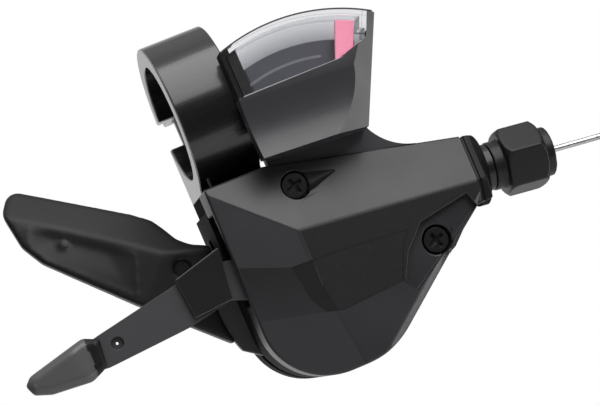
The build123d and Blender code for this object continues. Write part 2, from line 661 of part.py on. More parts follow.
def window_outline():
    """The part of the display above its sill, inside the right end wall."""
    sill = polygon([
        (POD_LEFT - 5, POD_SILL), (POD_SILL_BEND, POD_SILL), (POD_SILL_BEND + 7, POD_SILL_RIGHT),
        (POD_SILL_BEND + 20, POD_SILL_RIGHT), (POD_SILL_BEND + 20, 20), (POD_LEFT - 5, 20),
    ])
    foot, right_top = pod_right_line()
    lean = degrees(atan2(right_top[1] - foot[1], right_top[0] - foot[0]))
    wall = Pos(*foot) * Rot(0, 0, lean) * Rectangle(2 * POD_ARC_RADIUS, 2 * POD_WALL)
    return (pod_outline() & sill) - wall


def floor_height(x):
    """Top of the display's floor at a place along X."""
    return POD_FLOOR_LEFT + POD_FLOOR_SLOPE * (x - POD_LEFT) + POD_FLOOR


def clamp_room(wall=0.0):
    """Space beside the display that the clamp takes up, grown by a wall."""
    beside = Pos(NECK_LEFT + wall, 0) * Rectangle(40, 80, align=(Align.MAX, Align.CENTER))
    return slab(beside, 0, POD_STEP - wall)


def right_bevel(inset=0.0):
    """Space cut off by the sloping strip down the display's right end, moved inward."""
    normal = Vector(*BEVEL_NORMAL).normalized()
    return half_space(Vector(BEVEL_CORNER[0], POD_FRONT, BEVEL_CORNER[1]) - normal * inset, normal)


def front_dish():
    """Round bar that hollows the display's front panel."""
    radius = (DISH_HALF ** 2 + DISH_DEPTH ** 2) / (2 * DISH_DEPTH)
    place = Pos(DISH[0], POD_FRONT + DISH_DEPTH - radius, DISH[1]) * Rot(0, DISH_TILT, 0)
    return place * Cylinder(radius, 4 * POD_ARC_RADIUS, rotation=(0, 90, 0))


def indicator_housing():
    """Moulded display housing with a hollow front panel, which overhangs the cover and hugs the bar."""
    outline = pod_outline()
    housing = slab(outline, POD_REAR, POD_FRONT) - clamp_room() - front_dish() - right_bevel()
    toe = (NECK_TOE, top_edge(NECK_TOE))
    lower_left = (NECK_LEFT, top_edge(NECK_LEFT))
    upper_left = (NECK_LEFT, NECK_TOP)
    shoulder = (POD_RIGHT_FOOT[0], NECK_TOP)
    along_edge = (lower_left[0] - toe[0], lower_left[1] - toe[1])
    curve = TangentArc(toe, POD_RIGHT_FOOT, tangent=along_edge)
    sides = [Line(lower_left, toe), curve, Line(POD_RIGHT_FOOT, shoulder)]
    neck = make_face(sides + [Line(shoulder, upper_left), Line(upper_left, lower_left)])
    housing += slab(neck, NECK_REAR, NECK_FRONT) + slab(neck & outline, NECK_FRONT, POD_REAR)
    lug = Rectangle(LUG_RIGHT - LUG_LEFT, 23.0 + NECK_TOP, align=(Align.MIN, Align.MIN))
    housing += slab(Pos(LUG_LEFT, -23.0) * lug, UPPER_SEAT + 2 * SCREW_LAND, UPPER_SEAT + SCREW_LAND)
    x, z = UPPER_SCREW
    housing -= disc(x, z, SCREW_RADIUS + BOLT_CLEARANCE, SPLIT_Y, POD_FRONT)
    housing -= slab(window_outline(), POD_REAR, POD_FRONT)
    hollow = slab(offset(outline, amount=-POD_WALL), POD_REAR - POD_BACK, POD_FRONT + POD_FACE)
    top = NEEDLE_Z + NEEDLE_CRANK + NEEDLE_CRANK_HEIGHT + CHAMBER_PLAY
    left = NECK_LEFT + POD_WALL
    right = CHAMBER_RIGHT
    chamber = polygon([(left, floor_height(left)), (right, floor_height(right)), (right, top), (left, top)])
    hollow += slab(chamber, NEEDLE_REAR + CHAMBER_PLAY, POD_FRONT + POD_FACE)
    housing -= hollow - clamp_room(POD_WALL) - right_bevel(BEVEL_WALL)
    shaft = Pos(LUG_RIGHT, -24) * Rectangle(CHAMBER_RIGHT - LUG_RIGHT, 24 + top, align=(Align.MIN, Align.MIN))
    housing -= slab(shaft, NEEDLE_REAR + CHAMBER_PLAY, NEEDLE_FRONT - CHAMBER_PLAY)
    bar = Cylinder(BAR_RADIUS + BAR_ROOM, 80, rotation=(0, 90, 0))
    return housing - bar


def indicator_lens():
    """Clear cap over the display window, open below."""
    window = window_outline()
    lens = slab(offset(window, amount=-LENS_FIT), POD_REAR - LENS_FIT, POD_FRONT) - clamp_room()
    inner = offset(window, amount=-LENS_WALL)
    room = slab(inner + Pos(0, -2 * LENS_WALL) * inner, POD_REAR - LENS_WALL, POD_FRONT + LENS_WALL)
    return lens - (room - clamp_room(LENS_WALL))


def gear_scale():
    """Dark plate behind the needle, with a round top that carries the gear numbers."""
    inside = offset(pod_outline(), amount=-POD_WALL - LENS_WALL - 2 * LENS_FIT)
    plate = inside & Pos(NEEDLE_X, NEEDLE_Z) * Circle(SCALE_RADIUS)
    below = Pos(AXLE_X, SCALE_BOTTOM) * Rectangle(80, 40, align=(Align.CENTER, Align.MAX))
    rear = POD_REAR - LENS_WALL - LENS_FIT
    return slab(plate - below, rear, rear - SCALE_THICKNESS) - clamp_room(POD_WALL + 2 * LENS_FIT)


def needle_tail_end(turn=0.0):
    """Centre of the needle's peg after the needle has turned."""
    return about_needle(NEEDLE_TAIL, NEEDLE_TAIL_ANGLE + turn)


def gear_needle():
    """Bell-crank needle: a tail with a peg for the drum's cam, and a cranked flag in the window."""
    up = (Align.CENTER, Align.MIN)
    crank = Pos(0, NEEDLE_CRANK)
    arm = slab(Rectangle(NEEDLE_ARM, NEEDLE_CRANK + NEEDLE_CRANK_HEIGHT, align=up), NEEDLE_REAR, NEEDLE_FRONT)
    arm += slab(crank * Rectangle(NEEDLE_ARM, NEEDLE_CRANK_HEIGHT, align=up), NEEDLE_REAR, NEEDLE_FLAG_FRONT)
    stem = crank * Rectangle(NEEDLE_ARM, NEEDLE_FLAG_START - NEEDLE_CRANK, align=up)
    height = NEEDLE_LENGTH - NEEDLE_FLAG_START
    flag = Pos(0, NEEDLE_FLAG_START) * Rectangle(NEEDLE_FLAG_WIDTH, height, align=up)
    arm += slab(stem + flag, NEEDLE_FLAG_FRONT + NEEDLE_THICKNESS, NEEDLE_FLAG_FRONT)
    needle = Pos(NEEDLE_X, 0, NEEDLE_Z) * Rot(0, NEEDLE_ANGLE, 0) * arm
    needle += disc(NEEDLE_X, NEEDLE_Z, NEEDLE_HUB, NEEDLE_REAR, NEEDLE_FRONT)
    peg = needle_tail_end()
    tail = strip((NEEDLE_X, NEEDLE_Z), peg, 2 * PEG_RADIUS + 1) + Pos(*peg) * Circle(PEG_RADIUS + 0.5)
    needle += slab(tail, NEEDLE_REAR, NEEDLE_FRONT)
    needle += disc(*peg, PEG_RADIUS, DRUM_FRONT + CAM_DEPTH - SIDE_PLAY, NEEDLE_REAR)
    return needle - disc(NEEDLE_X, NEEDLE_Z, NEEDLE_PIN_RADIUS + NEEDLE_PIN_FIT, NEEDLE_REAR, NEEDLE_FRONT)


def needle_pin():
    """Headed pin in the cover on which the needle turns."""
    head = NEEDLE_REAR + SIDE_PLAY
    pin = disc(NEEDLE_X, NEEDLE_Z, NEEDLE_PIN_RADIUS, head, NEEDLE_PIN_END)
    return pin + disc(NEEDLE_X, NEEDLE_Z, NEEDLE_PIN_HEAD, head + SIDE_PLAY, head)


def cam_path():
    """Track of the needle's peg on the turning drum, for a steady ratio between the two."""
    points = []
    for i in range(9):
        turn = DRUM_TRAVEL * i / 8
        x, z = needle_tail_end(turn * NEEDLE_RATIO)
        reach = ((x - AXLE_X) ** 2 + (z - AXLE_Z) ** 2) ** 0.5
        points.append(about_axle(reach, degrees(atan2(z - AXLE_Z, x - AXLE_X)) - turn))
    return points


def cable_spool():
    """Moulded drum with the cable groove, the spiral cam for the needle and a square hub behind."""
    drum = ring(AXLE_X, AXLE_Z, DRUM_FLANGE_RADIUS, AXLE_BORE, DRUM_REAR, DRUM_FRONT)
    groove = WIRE_RADIUS + GROOVE_PLAY
    drum -= ring(AXLE_X, AXLE_Z, DRUM_FLANGE_RADIUS + 1, GROOVE_ROOT, CABLE_Y + groove, CABLE_Y - groove)
    drum -= ring(AXLE_X, AXLE_Z, SPRING_ROOM_OUTER, SPRING_ROOM_INNER, DRUM_REAR, SPRING_ROOM_FLOOR)
    hub = Pos(AXLE_X, AXLE_Z) * (Rectangle(HUB_SQUARE, HUB_SQUARE) - Circle(AXLE_BORE))
    drum += slab(hub, WINDING_REAR, DRUM_REAR)
    path = cam_path()
    width = PEG_RADIUS + PEG_PLAY
    drum -= slab(trace(Spline(*path), line_width=2 * width), DRUM_FRONT + CAM_DEPTH, DRUM_FRONT)
    for x, z in (path[0], path[-1]):
        drum -= disc(x, z, width, DRUM_FRONT + CAM_DEPTH, DRUM_FRONT)
    head = about_axle(HEAD_ORBIT, TANGENT_ANGLE + CABLE_WRAP)
    return drum - disc(*head, CABLE_HEAD_RADIUS + CABLE_HEAD_FIT, CABLE_Y + CABLE_HEAD_LENGTH / 2, DRUM_FRONT)


def cable_head():
    """Cast cable end in its pocket on the drum, with the wire lying in the groove."""
    start = TANGENT_ANGLE + CABLE_WRAP
    half = CABLE_HEAD_LENGTH / 2
    head = disc(*about_axle(HEAD_ORBIT, start), CABLE_HEAD_RADIUS, CABLE_Y + half, CABLE_Y - half)
    lay = revolve(Pos(CABLE_RADIUS_ON_DRUM, 0) * Circle(WIRE_RADIUS), Axis.Y, CABLE_WRAP - 4)
    return head + Pos(AXLE_X, CABLE_Y, AXLE_Z) * Rot(0, -start, 0) * lay


def ratchet(rear):
    """Saw-toothed wheel on the drum's square hub."""
    points = []
    for i in range(RATCHET_TEETH):
        points.append(about_axle(RATCHET_ROOT, i * CLICK_ANGLE))
        points.append(about_axle(RATCHET_TIP, i * CLICK_ANGLE + 1))
    hole = HUB_SQUARE + 2 * HUB_FIT
    return slab(polygon(points) - Pos(AXLE_X, AXLE_Z) * Rectangle(hole, hole), rear, rear - RATCHET_THICKNESS)


def pawl(angle, rear):
    """Curved pawl whose nose stands just clear of the ratchet's teeth."""
    pin = about_axle(PAWL_ORBIT, angle)
    nose = angle + PAWL_REACH
    middle = angle + PAWL_REACH / 2
    inner = RATCHET_TIP + PAWL_PLAY
    outer = PAWL_ORBIT + PAWL_EYE * 0.8
    body = polygon([
        about_axle(inner + 0.3, angle), about_axle(inner + 0.3, middle), about_axle(inner, nose),
        about_axle(inner + 1.4, nose), about_axle(outer - 0.9, middle), about_axle(outer, angle)])
    face = body + Pos(*pin) * Circle(PAWL_EYE) - Pos(*pin) * Circle(PAWL_PIN_RADIUS + PAWL_FIT)
    return slab(face, rear - SIDE_PLAY, rear - RATCHET_THICKNESS + SIDE_PLAY)


def winding_pawl_pin():
    """Pin in the thumb lever's ear that carries the winding pawl."""
    x, z = about_axle(PAWL_ORBIT, WINDING_PAWL_ANGLE)
    end = HOLDING_REAR
    return disc(x, z, PAWL_PIN_RADIUS, LEVER_REAR, end) + disc(x, z, PAWL_PIN_SHOULDER, end, end - 0.5)


def holding_pawl_pin():
    """Shouldered pin in the bracket that carries the holding pawl."""
    x, z = about_axle(PAWL_ORBIT, HOLDING_PAWL_ANGLE)
    pin = disc(x, z, PAWL_PIN_RADIUS, BRACKET_REAR, DRUM_REAR + SIDE_PLAY / 2)
    return pin + disc(x, z, PAWL_PIN_SHOULDER, BRACKET_FRONT, HOLDING_REAR)


def rivet_place():
    """Place of the paddle's rivet, short of the end of the steel arm."""
    return about_axle(LEVER_ARM_LENGTH - RIVET_INSET, LEVER_ARM_ANGLE - RIVET_TURN)


def main_lever():
    """Stamped steel thumb lever: hub, broad arm for the paddle and an ear for the winding pawl."""
    ear = about_axle(PAWL_ORBIT, WINDING_PAWL_ANGLE)
    centre = (AXLE_X, AXLE_Z)
    face = Pos(*centre) * Circle(LEVER_HUB)
    face += strip(centre, about_axle(LEVER_ARM_LENGTH, LEVER_ARM_ANGLE), LEVER_ARM_WIDTH)
    face += strip(centre, ear, 2 * PAWL_EYE) + Pos(*ear) * Circle(PAWL_EYE)
    root = PADDLE_ROOT_RADIUS - PADDLE_FIT
    heel = about_axle(LEVER_HEEL_REACH, LEVER_HEEL_ANGLE + LEVER_HEEL_SPREAD)
    face += sector(root, LEVER_ARM_ANGLE, LEVER_HEEL_ANGLE)
    face += polygon([centre, about_axle(root, LEVER_HEEL_ANGLE), heel])
    face -= Pos(*centre) * Circle(AXLE_BORE)
    face -= Pos(*ear) * Circle(PAWL_PIN_RADIUS)
    face -= Pos(*rivet_place()) * Circle(RIVET_RADIUS)
    return slab(face, LEVER_REAR, LEVER_FRONT)


def paddle_layer(start, end):
    """Solid along the paddle between two shares of its thickness, flat at the root and twisted at the tip."""
    ux, uz = cos(radians(PADDLE_ANGLE)), sin(radians(PADDLE_ANGLE))
    root_y = LEVER_FRONT - PADDLE_SKIN + PADDLE_ROOT / 2
    faces = []
    for reach, middle, thick, twist in (
            (-20.0, root_y, PADDLE_ROOT, 0.0),
            (PADDLE_FLAT, root_y, PADDLE_ROOT, 0.0),
            (PADDLE_LENGTH, PADDLE_TIP_Y, PADDLE_TIP, PADDLE_TWIST)):
        across = (uz * cos(radians(twist)), sin(radians(twist)), -ux * cos(radians(twist)))
        origin = (PADDLE_AXIS[0] + ux * reach, middle, PADDLE_AXIS[1] + uz * reach)
        plane = Plane(origin=origin, x_dir=across, z_dir=(-ux, 0, -uz))
        faces.append(plane * Pos(0, thick * ((start + end) / 2 - 0.5)) * Rectangle(60, thick * (end - start)))
    return loft(faces, ruled=True)


def thumb_paddle():
    """Moulded thumb paddle round the steel arm: a band sloping back along its top, a sunk field and a pip."""
    face = polygon(PADDLE)
    for tip in PADDLE[:2]:
        face = fillet(face.vertices().sort_by_distance((*tip, 0))[0], PADDLE_TIP_ROUND)
    face -= Pos(AXLE_X, AXLE_Z) * Circle(PADDLE_ROOT_RADIUS)
    paddle = slab(face, 40, -20) & paddle_layer(0, 1)
    paddle -= slab(polygon(PADDLE_FIELD), 40, -20) & paddle_layer(1 - PADDLE_HOLLOW / PADDLE_ROOT, 2)
    paddle += disc(*PIP, PIP_RADIUS, 40, -20) & paddle_layer(0.5, 1)
    paddle -= half_space(PADDLE_BAND, PADDLE_BAND_NORMAL)
    end = about_axle(LEVER_ARM_LENGTH + PADDLE_FIT, LEVER_ARM_ANGLE)
    arm = strip((AXLE_X, AXLE_Z), end, LEVER_ARM_WIDTH + 2 * PADDLE_FIT)
    paddle -= slab(arm, LEVER_REAR + PADDLE_FIT, LEVER_FRONT - PADDLE_FIT)
    return paddle - disc(*rivet_place(), RIVET_RADIUS, 40, -20)


def paddle_rivet():
    """Rivet that holds the paddle on the steel arm, flush with the arm below the front skin."""
    return disc(*rivet_place(), RIVET_RADIUS, LEVER_FRONT - PADDLE_SKIN + PADDLE_ROOT, LEVER_FRONT)


def release_lever():
    """Stamped release lever with a bent lower edge and a finger bent back to the holding pawl."""
    axle = Pos(AXLE_X, AXLE_Z)
    arm = polygon(RELEASE_ARM)
    finger = sector(TAB_OUTER, TAB_START, TAB_END)
    face = axle * Circle(RELEASE_HUB) + arm + finger - axle * Circle(AXLE_BORE)
    lever = slab(face, RELEASE_REAR, RELEASE_FRONT)
    lever -= disc(*RELEASE_HOLE, RELEASE_HOLE_RADIUS, RELEASE_FRONT + RELEASE_HOLE_DEPTH, RELEASE_FRONT)
    lever -= disc(*RELEASE_HOLE, RELEASE_HOLE_THROUGH, RELEASE_REAR, RELEASE_FRONT)
    lever += slab(finger - axle * Circle(TAB_INNER), HOLDING_REAR - SIDE_PLAY, RELEASE_REAR)
    left, right = RELEASE_FLANGE_ENDS
    stretch = Pos((left + right) / 2, AXLE_Z) * Rectangle(right - left, 4 * RELEASE_PLATE)
    edge = (arm - Pos(0, RELEASE_PLATE) * arm) & stretch
    return lever + slab(edge, RELEASE_FRONT + RELEASE_FLANGE, RELEASE_REAR)


def lever_shroud():
    """Moulded guard on the release lever's root."""
    return slab(polygon(SHROUD), RELEASE_FRONT, RELEASE_FRONT - SHROUD_THICKNESS)


def finger_cap():
    """Rounded cap over the end of the release lever."""
    middle = (RELEASE_FRONT + RELEASE_REAR) / 2
    cap = slab(polygon(CAP), middle + CAP_THICKNESS / 2, middle - CAP_THICKNESS / 2)
    flats = cap.faces().sort_by(Axis.Y)
    cap = chamfer(flats[0].edges() + flats[-1].edges(), CAP_ROUND)
    inside = offset(polygon(RELEASE_ARM), amount=CAP_FIT)
    return cap - slab(inside, RELEASE_REAR + CAP_FIT, RELEASE_FRONT - CAP_FIT)


def adjuster_sleeve():
    """Threaded steel sleeve of the barrel adjuster."""
    start = BOSS_END - SLEEVE_INSET + SIDE_PLAY
    return along_cable(Circle(SLEEVE_RADIUS) - Circle(SLEEVE_BORE), start, KNOB_HEX_END)


def barrel_adjuster():
    """Six-sided knob with a round neck and a round end for the cable."""
    hexagon = Rot(0, 0, KNOB_CLOCK) * RegularPolygon(KNOB_FLATS / 2, 6, major_radius=False)
    corner = KNOB_FLATS / 2 / cos(radians(30))
    x, z = cable_point(KNOB_HEX)
    plane = Plane(origin=(x, CABLE_Y, z), x_dir=(0, -1, 0), z_dir=(CABLE_X, 0, CABLE_Z))
    up = (Align.CENTER, Align.CENTER, Align.MIN)
    narrow, wide = corner - KNOB_CHAMFER, corner - KNOB_CHAMFER + KNOB_LENGTH
    body = along_cable(hexagon, KNOB_HEX, KNOB_HEX_END)
    body = body & plane * Cone(narrow, wide, KNOB_LENGTH, align=up)
    body = body & plane * Cone(wide, narrow, KNOB_LENGTH, align=up)
    knob = along_cable(Circle(KNOB_NECK_RADIUS), KNOB_START, KNOB_HEX) + body
    knob += along_cable(Circle(KNOB_RING_RADIUS), KNOB_HEX_END, CABLE_EXIT)
    knob -= along_cable(Circle(SLEEVE_RADIUS), KNOB_START, KNOB_HEX_END)
    return knob - along_cable(Circle(SLEEVE_BORE), KNOB_HEX_END, CABLE_EXIT)


def adjuster_spring():
    """Wave washer that keeps the adjuster from turning by itself, drawn flat."""
    return along_cable(Circle(WASHER_OUTER) - Circle(WASHER_INNER), BOSS_END + COLLAR, KNOB_START - SIDE_PLAY)


def inner_cable():
    """Wire from the drum to the exit of the adjuster."""
    return along_cable(Circle(WIRE_RADIUS), 0, CABLE_EXIT)


def free_route():
    """Points of the free wire from the exit to the top of its coil."""
    start = cable_point(CABLE_EXIT)
    bend = cable_point(CABLE_EXIT + FREE_RUN)
    end = polar(bend, FREE_RUN, -CABLE_DROP - FREE_BEND)
    return [(x, CABLE_Y, z) for x, z in (start, bend, end)]


def coil_centre():
    """Centre of the coil in X and Z, below the end of the free wire."""
    x, _, z = free_route()[-1]
    return polar((x, z), COIL_RADIUS, 270 - CABLE_DROP - FREE_BEND)


def free_cable():
    """Free wire, straight out of the exit and then a little down to the coil."""
    radius = 0.45 * FREE_RUN / tan(radians(FREE_BEND / 2))
    print("free_cable bend radius", round(radius, 1))
    path = FilletPolyline(*free_route(), radius=radius)
    return sweep(Plane(origin=path @ 0, z_dir=path % 0) * Circle(WIRE_RADIUS), path=path)


def cable_coil():
    """Rest of the wire, wound into a tied coil for storage: the outer shape of its turns."""
    x, z = coil_centre()
    section = Pos(COIL_RADIUS, 0) * RegularPolygon(COIL_BUNDLE, COIL_SIDES)
    return Pos(x, CABLE_Y, z) * revolve(section, Axis.Y)


def coil_tie():
    """Band round the coil's turns."""
    x, z = polar(coil_centre(), COIL_RADIUS, TIE_ANGLE)
    inner = COIL_BUNDLE + TIE_PLAY
    plane = Plane(origin=(x, CABLE_Y, z), z_dir=(-sin(radians(TIE_ANGLE)), 0, cos(radians(TIE_ANGLE))))
    return extrude(plane * (Circle(inner + TIE_THICKNESS) - Circle(inner)), amount=TIE_WIDTH / 2, both=True)


def springs():
    """The three clock springs round the axle: drum return, thumb lever and release lever."""
    on_axle = AXLE_RADIUS + SPRING_PLAY
    in_room = SPRING_ROOM_INNER + SPRING_PLAY
    room, lever, release = SPRING_ROOM_OUTER - SPRING_PLAY, LEVER_HUB - SPRING_PLAY, RELEASE_HUB - SPRING_PLAY
    return {
        "return_spring": clock_spring(in_room, room, DRUM_REAR - SIDE_PLAY, SPRING_ROOM_FLOOR + SIDE_PLAY),
        "lever_spring": clock_spring(on_axle, lever, BRACKET_FRONT - SIDE_PLAY, LEVER_REAR + SIDE_PLAY),
        "release_spring": clock_spring(on_axle, release, RELEASE_FRONT - SIDE_PLAY, CLIP_REAR + SIDE_PLAY),
    }


def parts():
    """Every piece of the shifter by name."""
    pieces = {
        "clamp_band": clamp_band(),
        "clamp_bolt": clamp_bolt(),
        "foot_screw": foot_screw(),
        "base_bracket": base_bracket(),
        "main_axle": main_axle(),
        "axle_clip": axle_clip(),
        "axle_spacer": axle_spacer(),
        "rear_case": rear_case(),
        "front_cover": front_cover(),
        "cover_screws": cover_screws(),
        "indicator_housing": indicator_housing(),
        "indicator_lens": indicator_lens(),
        "gear_scale": gear_scale(),
        "gear_needle": gear_needle(),
        "needle_pin": needle_pin(),
        "cable_spool": cable_spool(),
        "cable_head": cable_head(),
        "winding_ratchet": ratchet(WINDING_REAR),
        "holding_ratchet": ratchet(HOLDING_REAR),
        "winding_pawl": pawl(WINDING_PAWL_ANGLE, WINDING_REAR),
        "holding_pawl": pawl(HOLDING_PAWL_ANGLE, HOLDING_REAR),
        "winding_pawl_pin": winding_pawl_pin(),
        "holding_pawl_pin": holding_pawl_pin(),
        "main_lever": main_lever(),
        "thumb_paddle": thumb_paddle(),
        "paddle_rivet": paddle_rivet(),
        "release_lever": release_lever(),
        "lever_shroud": lever_shroud(),
        "finger_cap": finger_cap(),
        "adjuster_sleeve": adjuster_sleeve(),
        "barrel_adjuster": barrel_adjuster(),
        "adjuster_spring": adjuster_spring(),
        "inner_cable": inner_cable(),
        "free_cable": free_cable(),
        "cable_coil": cable_coil(),
        "coil_tie": coil_tie(),
    }
    return pieces | springs()


if __name__ == "__main__":
    os.makedirs("parts", exist_ok=True)
    for node, shape in parts().items():
        export_step(shape, f"parts/{node}.step")
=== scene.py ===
"""Looks of a trigger gear shifter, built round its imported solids, in metres."""
import logging
import math
from dataclasses import dataclass
from enum import Enum
from typing import Any, Callable

import bpy
from mathutils import Matrix, Vector


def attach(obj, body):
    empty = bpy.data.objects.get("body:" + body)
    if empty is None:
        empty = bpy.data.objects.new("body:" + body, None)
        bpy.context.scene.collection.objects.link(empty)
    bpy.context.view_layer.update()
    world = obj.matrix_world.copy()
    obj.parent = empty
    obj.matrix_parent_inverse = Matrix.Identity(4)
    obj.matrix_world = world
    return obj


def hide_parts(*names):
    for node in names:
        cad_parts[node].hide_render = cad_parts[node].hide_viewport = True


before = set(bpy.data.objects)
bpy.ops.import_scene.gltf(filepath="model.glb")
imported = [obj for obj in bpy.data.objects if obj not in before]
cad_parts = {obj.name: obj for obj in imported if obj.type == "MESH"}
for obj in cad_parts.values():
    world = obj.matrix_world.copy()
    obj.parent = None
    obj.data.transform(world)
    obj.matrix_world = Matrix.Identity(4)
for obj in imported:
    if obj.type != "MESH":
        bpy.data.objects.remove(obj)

MM = 0.001
MERGE = 2e-6  # corners nearer than this, in metres, are one
FLAT = 0.4  # faces that meet at fewer degrees than this are one
SHARP = 40.0  # edges past this many degrees are shaded sharp
NOISE_MIDDLE = (0.3, 0.7)  # where most values of a noise texture lie
log = logging.getLogger("shifter")
Tree = bpy.types.NodeTree
Socket = bpy.types.NodeSocket
Face = bpy.types.MeshPolygon
Piece = bpy.types.Object
Pair = tuple[float, float]
Triple = tuple[float, float, float]
Outline = tuple[Pair, ...]
FaceTest = Callable[[Face], bool]
Carving = Callable[[Piece], None]
Share = Callable[[Vector], float]


class Ride(Enum):
    """The moving bodies that pieces ride on."""

    BASE = "base"
    THUMB = "thumb_lever"
    RELEASE = "release"
    NEEDLE = "needle"
    ADJUSTER = "adjuster"


class Grain(Enum):
    """How a mould's surface was left, as grain width and height in millimetres."""

    FINE = (0.35, 0.012)
    SPARK = (0.6, 0.05)
    POLISHED = (1.2, 0.002)


def srgb(colour: str) -> tuple[float, float, float, float]:
    """Turns an sRGB hex colour to linear values.

    Args:
        colour: hex colour such as "#2b2a2c".

    Returns:
        Linear red, green, blue and full opacity.
    """
    values = [int(colour[i:i + 2], 16) / 255 for i in (1, 3, 5)]
    linear = [v / 12.92 if v <= 0.04045 else ((v + 0.055) / 1.055) ** 2.4 for v in values]
    return (linear[0], linear[1], linear[2], 1.0)


def add_node(tree: Tree, kind: str, inputs: dict[Any, Any] | None = None,
             **settings: Any) -> bpy.types.Node:
    """Adds a node with its settings, values and links.

    Args:
        tree: node tree that takes the node.
        kind: Blender's name of the node type.
        inputs: socket name or number to a value, or to the socket that feeds it.
        **settings: properties of the node itself.

    Returns:
        The new node.
    """
    node = tree.nodes.new(kind)
    for key, value in settings.items():
        setattr(node, key, value)
    for socket, value in (inputs or {}).items():
        if isinstance(value, Socket):
            tree.links.new(value, node.inputs[socket])
        else:
            node.inputs[socket].default_value = value
    return node


def noise(tree: Tree, place: Socket, width_mm: float, detail: float) -> Socket:
    """Adds a noise texture.

    Args:
        tree: node tree that takes the node.
        place: coordinates in metres.
        width_mm: width of its spots in millimetres.
        detail: how many finer layers lie over them.

    Returns:
        The socket with its values.
    """
    spots = {"Vector": place, "Scale": 1 / (width_mm * MM), "Detail": detail}
    return add_node(tree, "ShaderNodeTexNoise", spots).outputs["Fac"]


def bump(tree: Tree, height: Socket, depth_mm: float) -> Socket:
    """Adds a bump.

    Args:
        tree: node tree that takes the node.
        height: socket with the share of the height.
        depth_mm: the whole height in millimetres.

    Returns:
        The socket with the bent normal.
    """
    relief = {"Height": height, "Strength": 1.0, "Distance": depth_mm * MM}
    return add_node(tree, "ShaderNodeBump", relief).outputs["Normal"]


def spread(tree: Tree, value: Socket, source: Pair, target: Pair = (0.0, 1.0)) -> Socket:
    """Maps one range of values to another and holds it at both ends.

    Args:
        tree: node tree that takes the node.
        value: socket with the values.
        source: the range they come from.
        target: the range they go to.

    Returns:
        The socket with the mapped values.
    """
    return add_node(tree, "ShaderNodeMapRange", {
        "Value": value, "From Min": source[0], "From Max": source[1],
        "To Min": target[0], "To Max": target[1]}).outputs["Result"]


def blend(tree: Tree, share: Socket, first: Any, second: Any) -> Socket:
    """Blends two colours.

    Args:
        tree: node tree that takes the node.
        share: socket with the share of the second colour.
        first: linear colour, or the socket that feeds it.
        second: the same for the other colour.

    Returns:
        The socket with the blended colour.
    """
    return add_node(tree, "ShaderNodeMix", {0: share, 6: first, 7: second}, data_type="RGBA").outputs[2]


def blank_material(name: str) -> tuple[bpy.types.Material, Tree]:
    """Makes an empty node material.

    Args:
        name: name of the finish.

    Returns:
        The material and its node tree.
    """
    material = bpy.data.materials.new(name)
    material.use_nodes = True
    material.node_tree.nodes.clear()
    return material, material.node_tree


@dataclass(frozen=True)
class Finish:
    """A finish by its common name, colour and gloss."""

    name: str
    colour: str
    roughness: float = 0.5
    specular: float = 0.5

    def surface(self, tree: Tree, place: Socket) -> dict[Any, Any]:
        """Gives the shader's inputs for this finish.

        Args:
            tree: the material's node tree.
            place: object coordinates in metres.

        Returns:
            Socket name to value or feeding socket.
        """
        return {"Base Color": srgb(self.colour), "Roughness": self.roughness}

    def material(self) -> bpy.types.Material:
        """Makes the material, or returns it if it is already there."""
        found = bpy.data.materials.get(self.name)
        if found:
            return found
        material, tree = blank_material(self.name)
        place = add_node(tree, "ShaderNodeTexCoord").outputs["Object"]
        inputs = {"Specular IOR Level": self.specular} | self.surface(tree, place)
        shader = add_node(tree, "ShaderNodeBsdfPrincipled", inputs)
        add_node(tree, "ShaderNodeOutputMaterial", {"Surface": shader.outputs["BSDF"]})
        return material


@dataclass(frozen=True)
class MouldedPlastic(Finish):
    """Glass-filled nylon or ABS from a grained mould: a soft sheen broken by fine grain."""

    grain: Grain = Grain.FINE
    mottle: float = 0.12
    flow_mm: float = 10.0
    uneven: float = 0.04

    def surface(self, tree: Tree, place: Socket) -> dict[Any, Any]:
        """Mottled colour, uneven gloss and mould grain; see the base class for Args and Returns."""
        width, height = self.grain.value
        fine = noise(tree, place, width, detail=3.0)
        flow = noise(tree, place, self.flow_mm, detail=2.0)
        red, green, blue, _ = srgb(self.colour)
        dark, light = ((red * f, green * f, blue * f, 1) for f in (1 - self.mottle, 1 + self.mottle))
        most = self.roughness + self.uneven
        gloss = spread(tree, flow, NOISE_MIDDLE, (self.roughness - self.uneven, most))
        return {
            "Base Color": blend(tree, fine, dark, light), "Roughness": gloss,
            "Normal": bump(tree, fine, height)}


@dataclass(frozen=True)
class ShadePaintedPlastic(MouldedPlastic):
    """The same nylon with painted shade: a darker colour that grows lighter along one way."""

    light: str = "#2b2a2d"
    way: Triple = (0.33, 0.0, 0.944)
    light_at: float = -39.1
    dark_at: float = -30.9

    def surface(self, tree: Tree, place: Socket) -> dict[Any, Any]:
        """Grained plastic with painted shade, a second colour along one way; see the base class for Args and
        Returns.
        """
        inputs = super().surface(tree, place)
        along = add_node(tree, "ShaderNodeVectorMath", {0: place, 1: self.way}, operation="DOT_PRODUCT")
        share = spread(tree, along.outputs["Value"], (self.light_at * MM, self.dark_at * MM))
        return inputs | {"Base Color": blend(tree, share, srgb(self.light), inputs["Base Color"])}


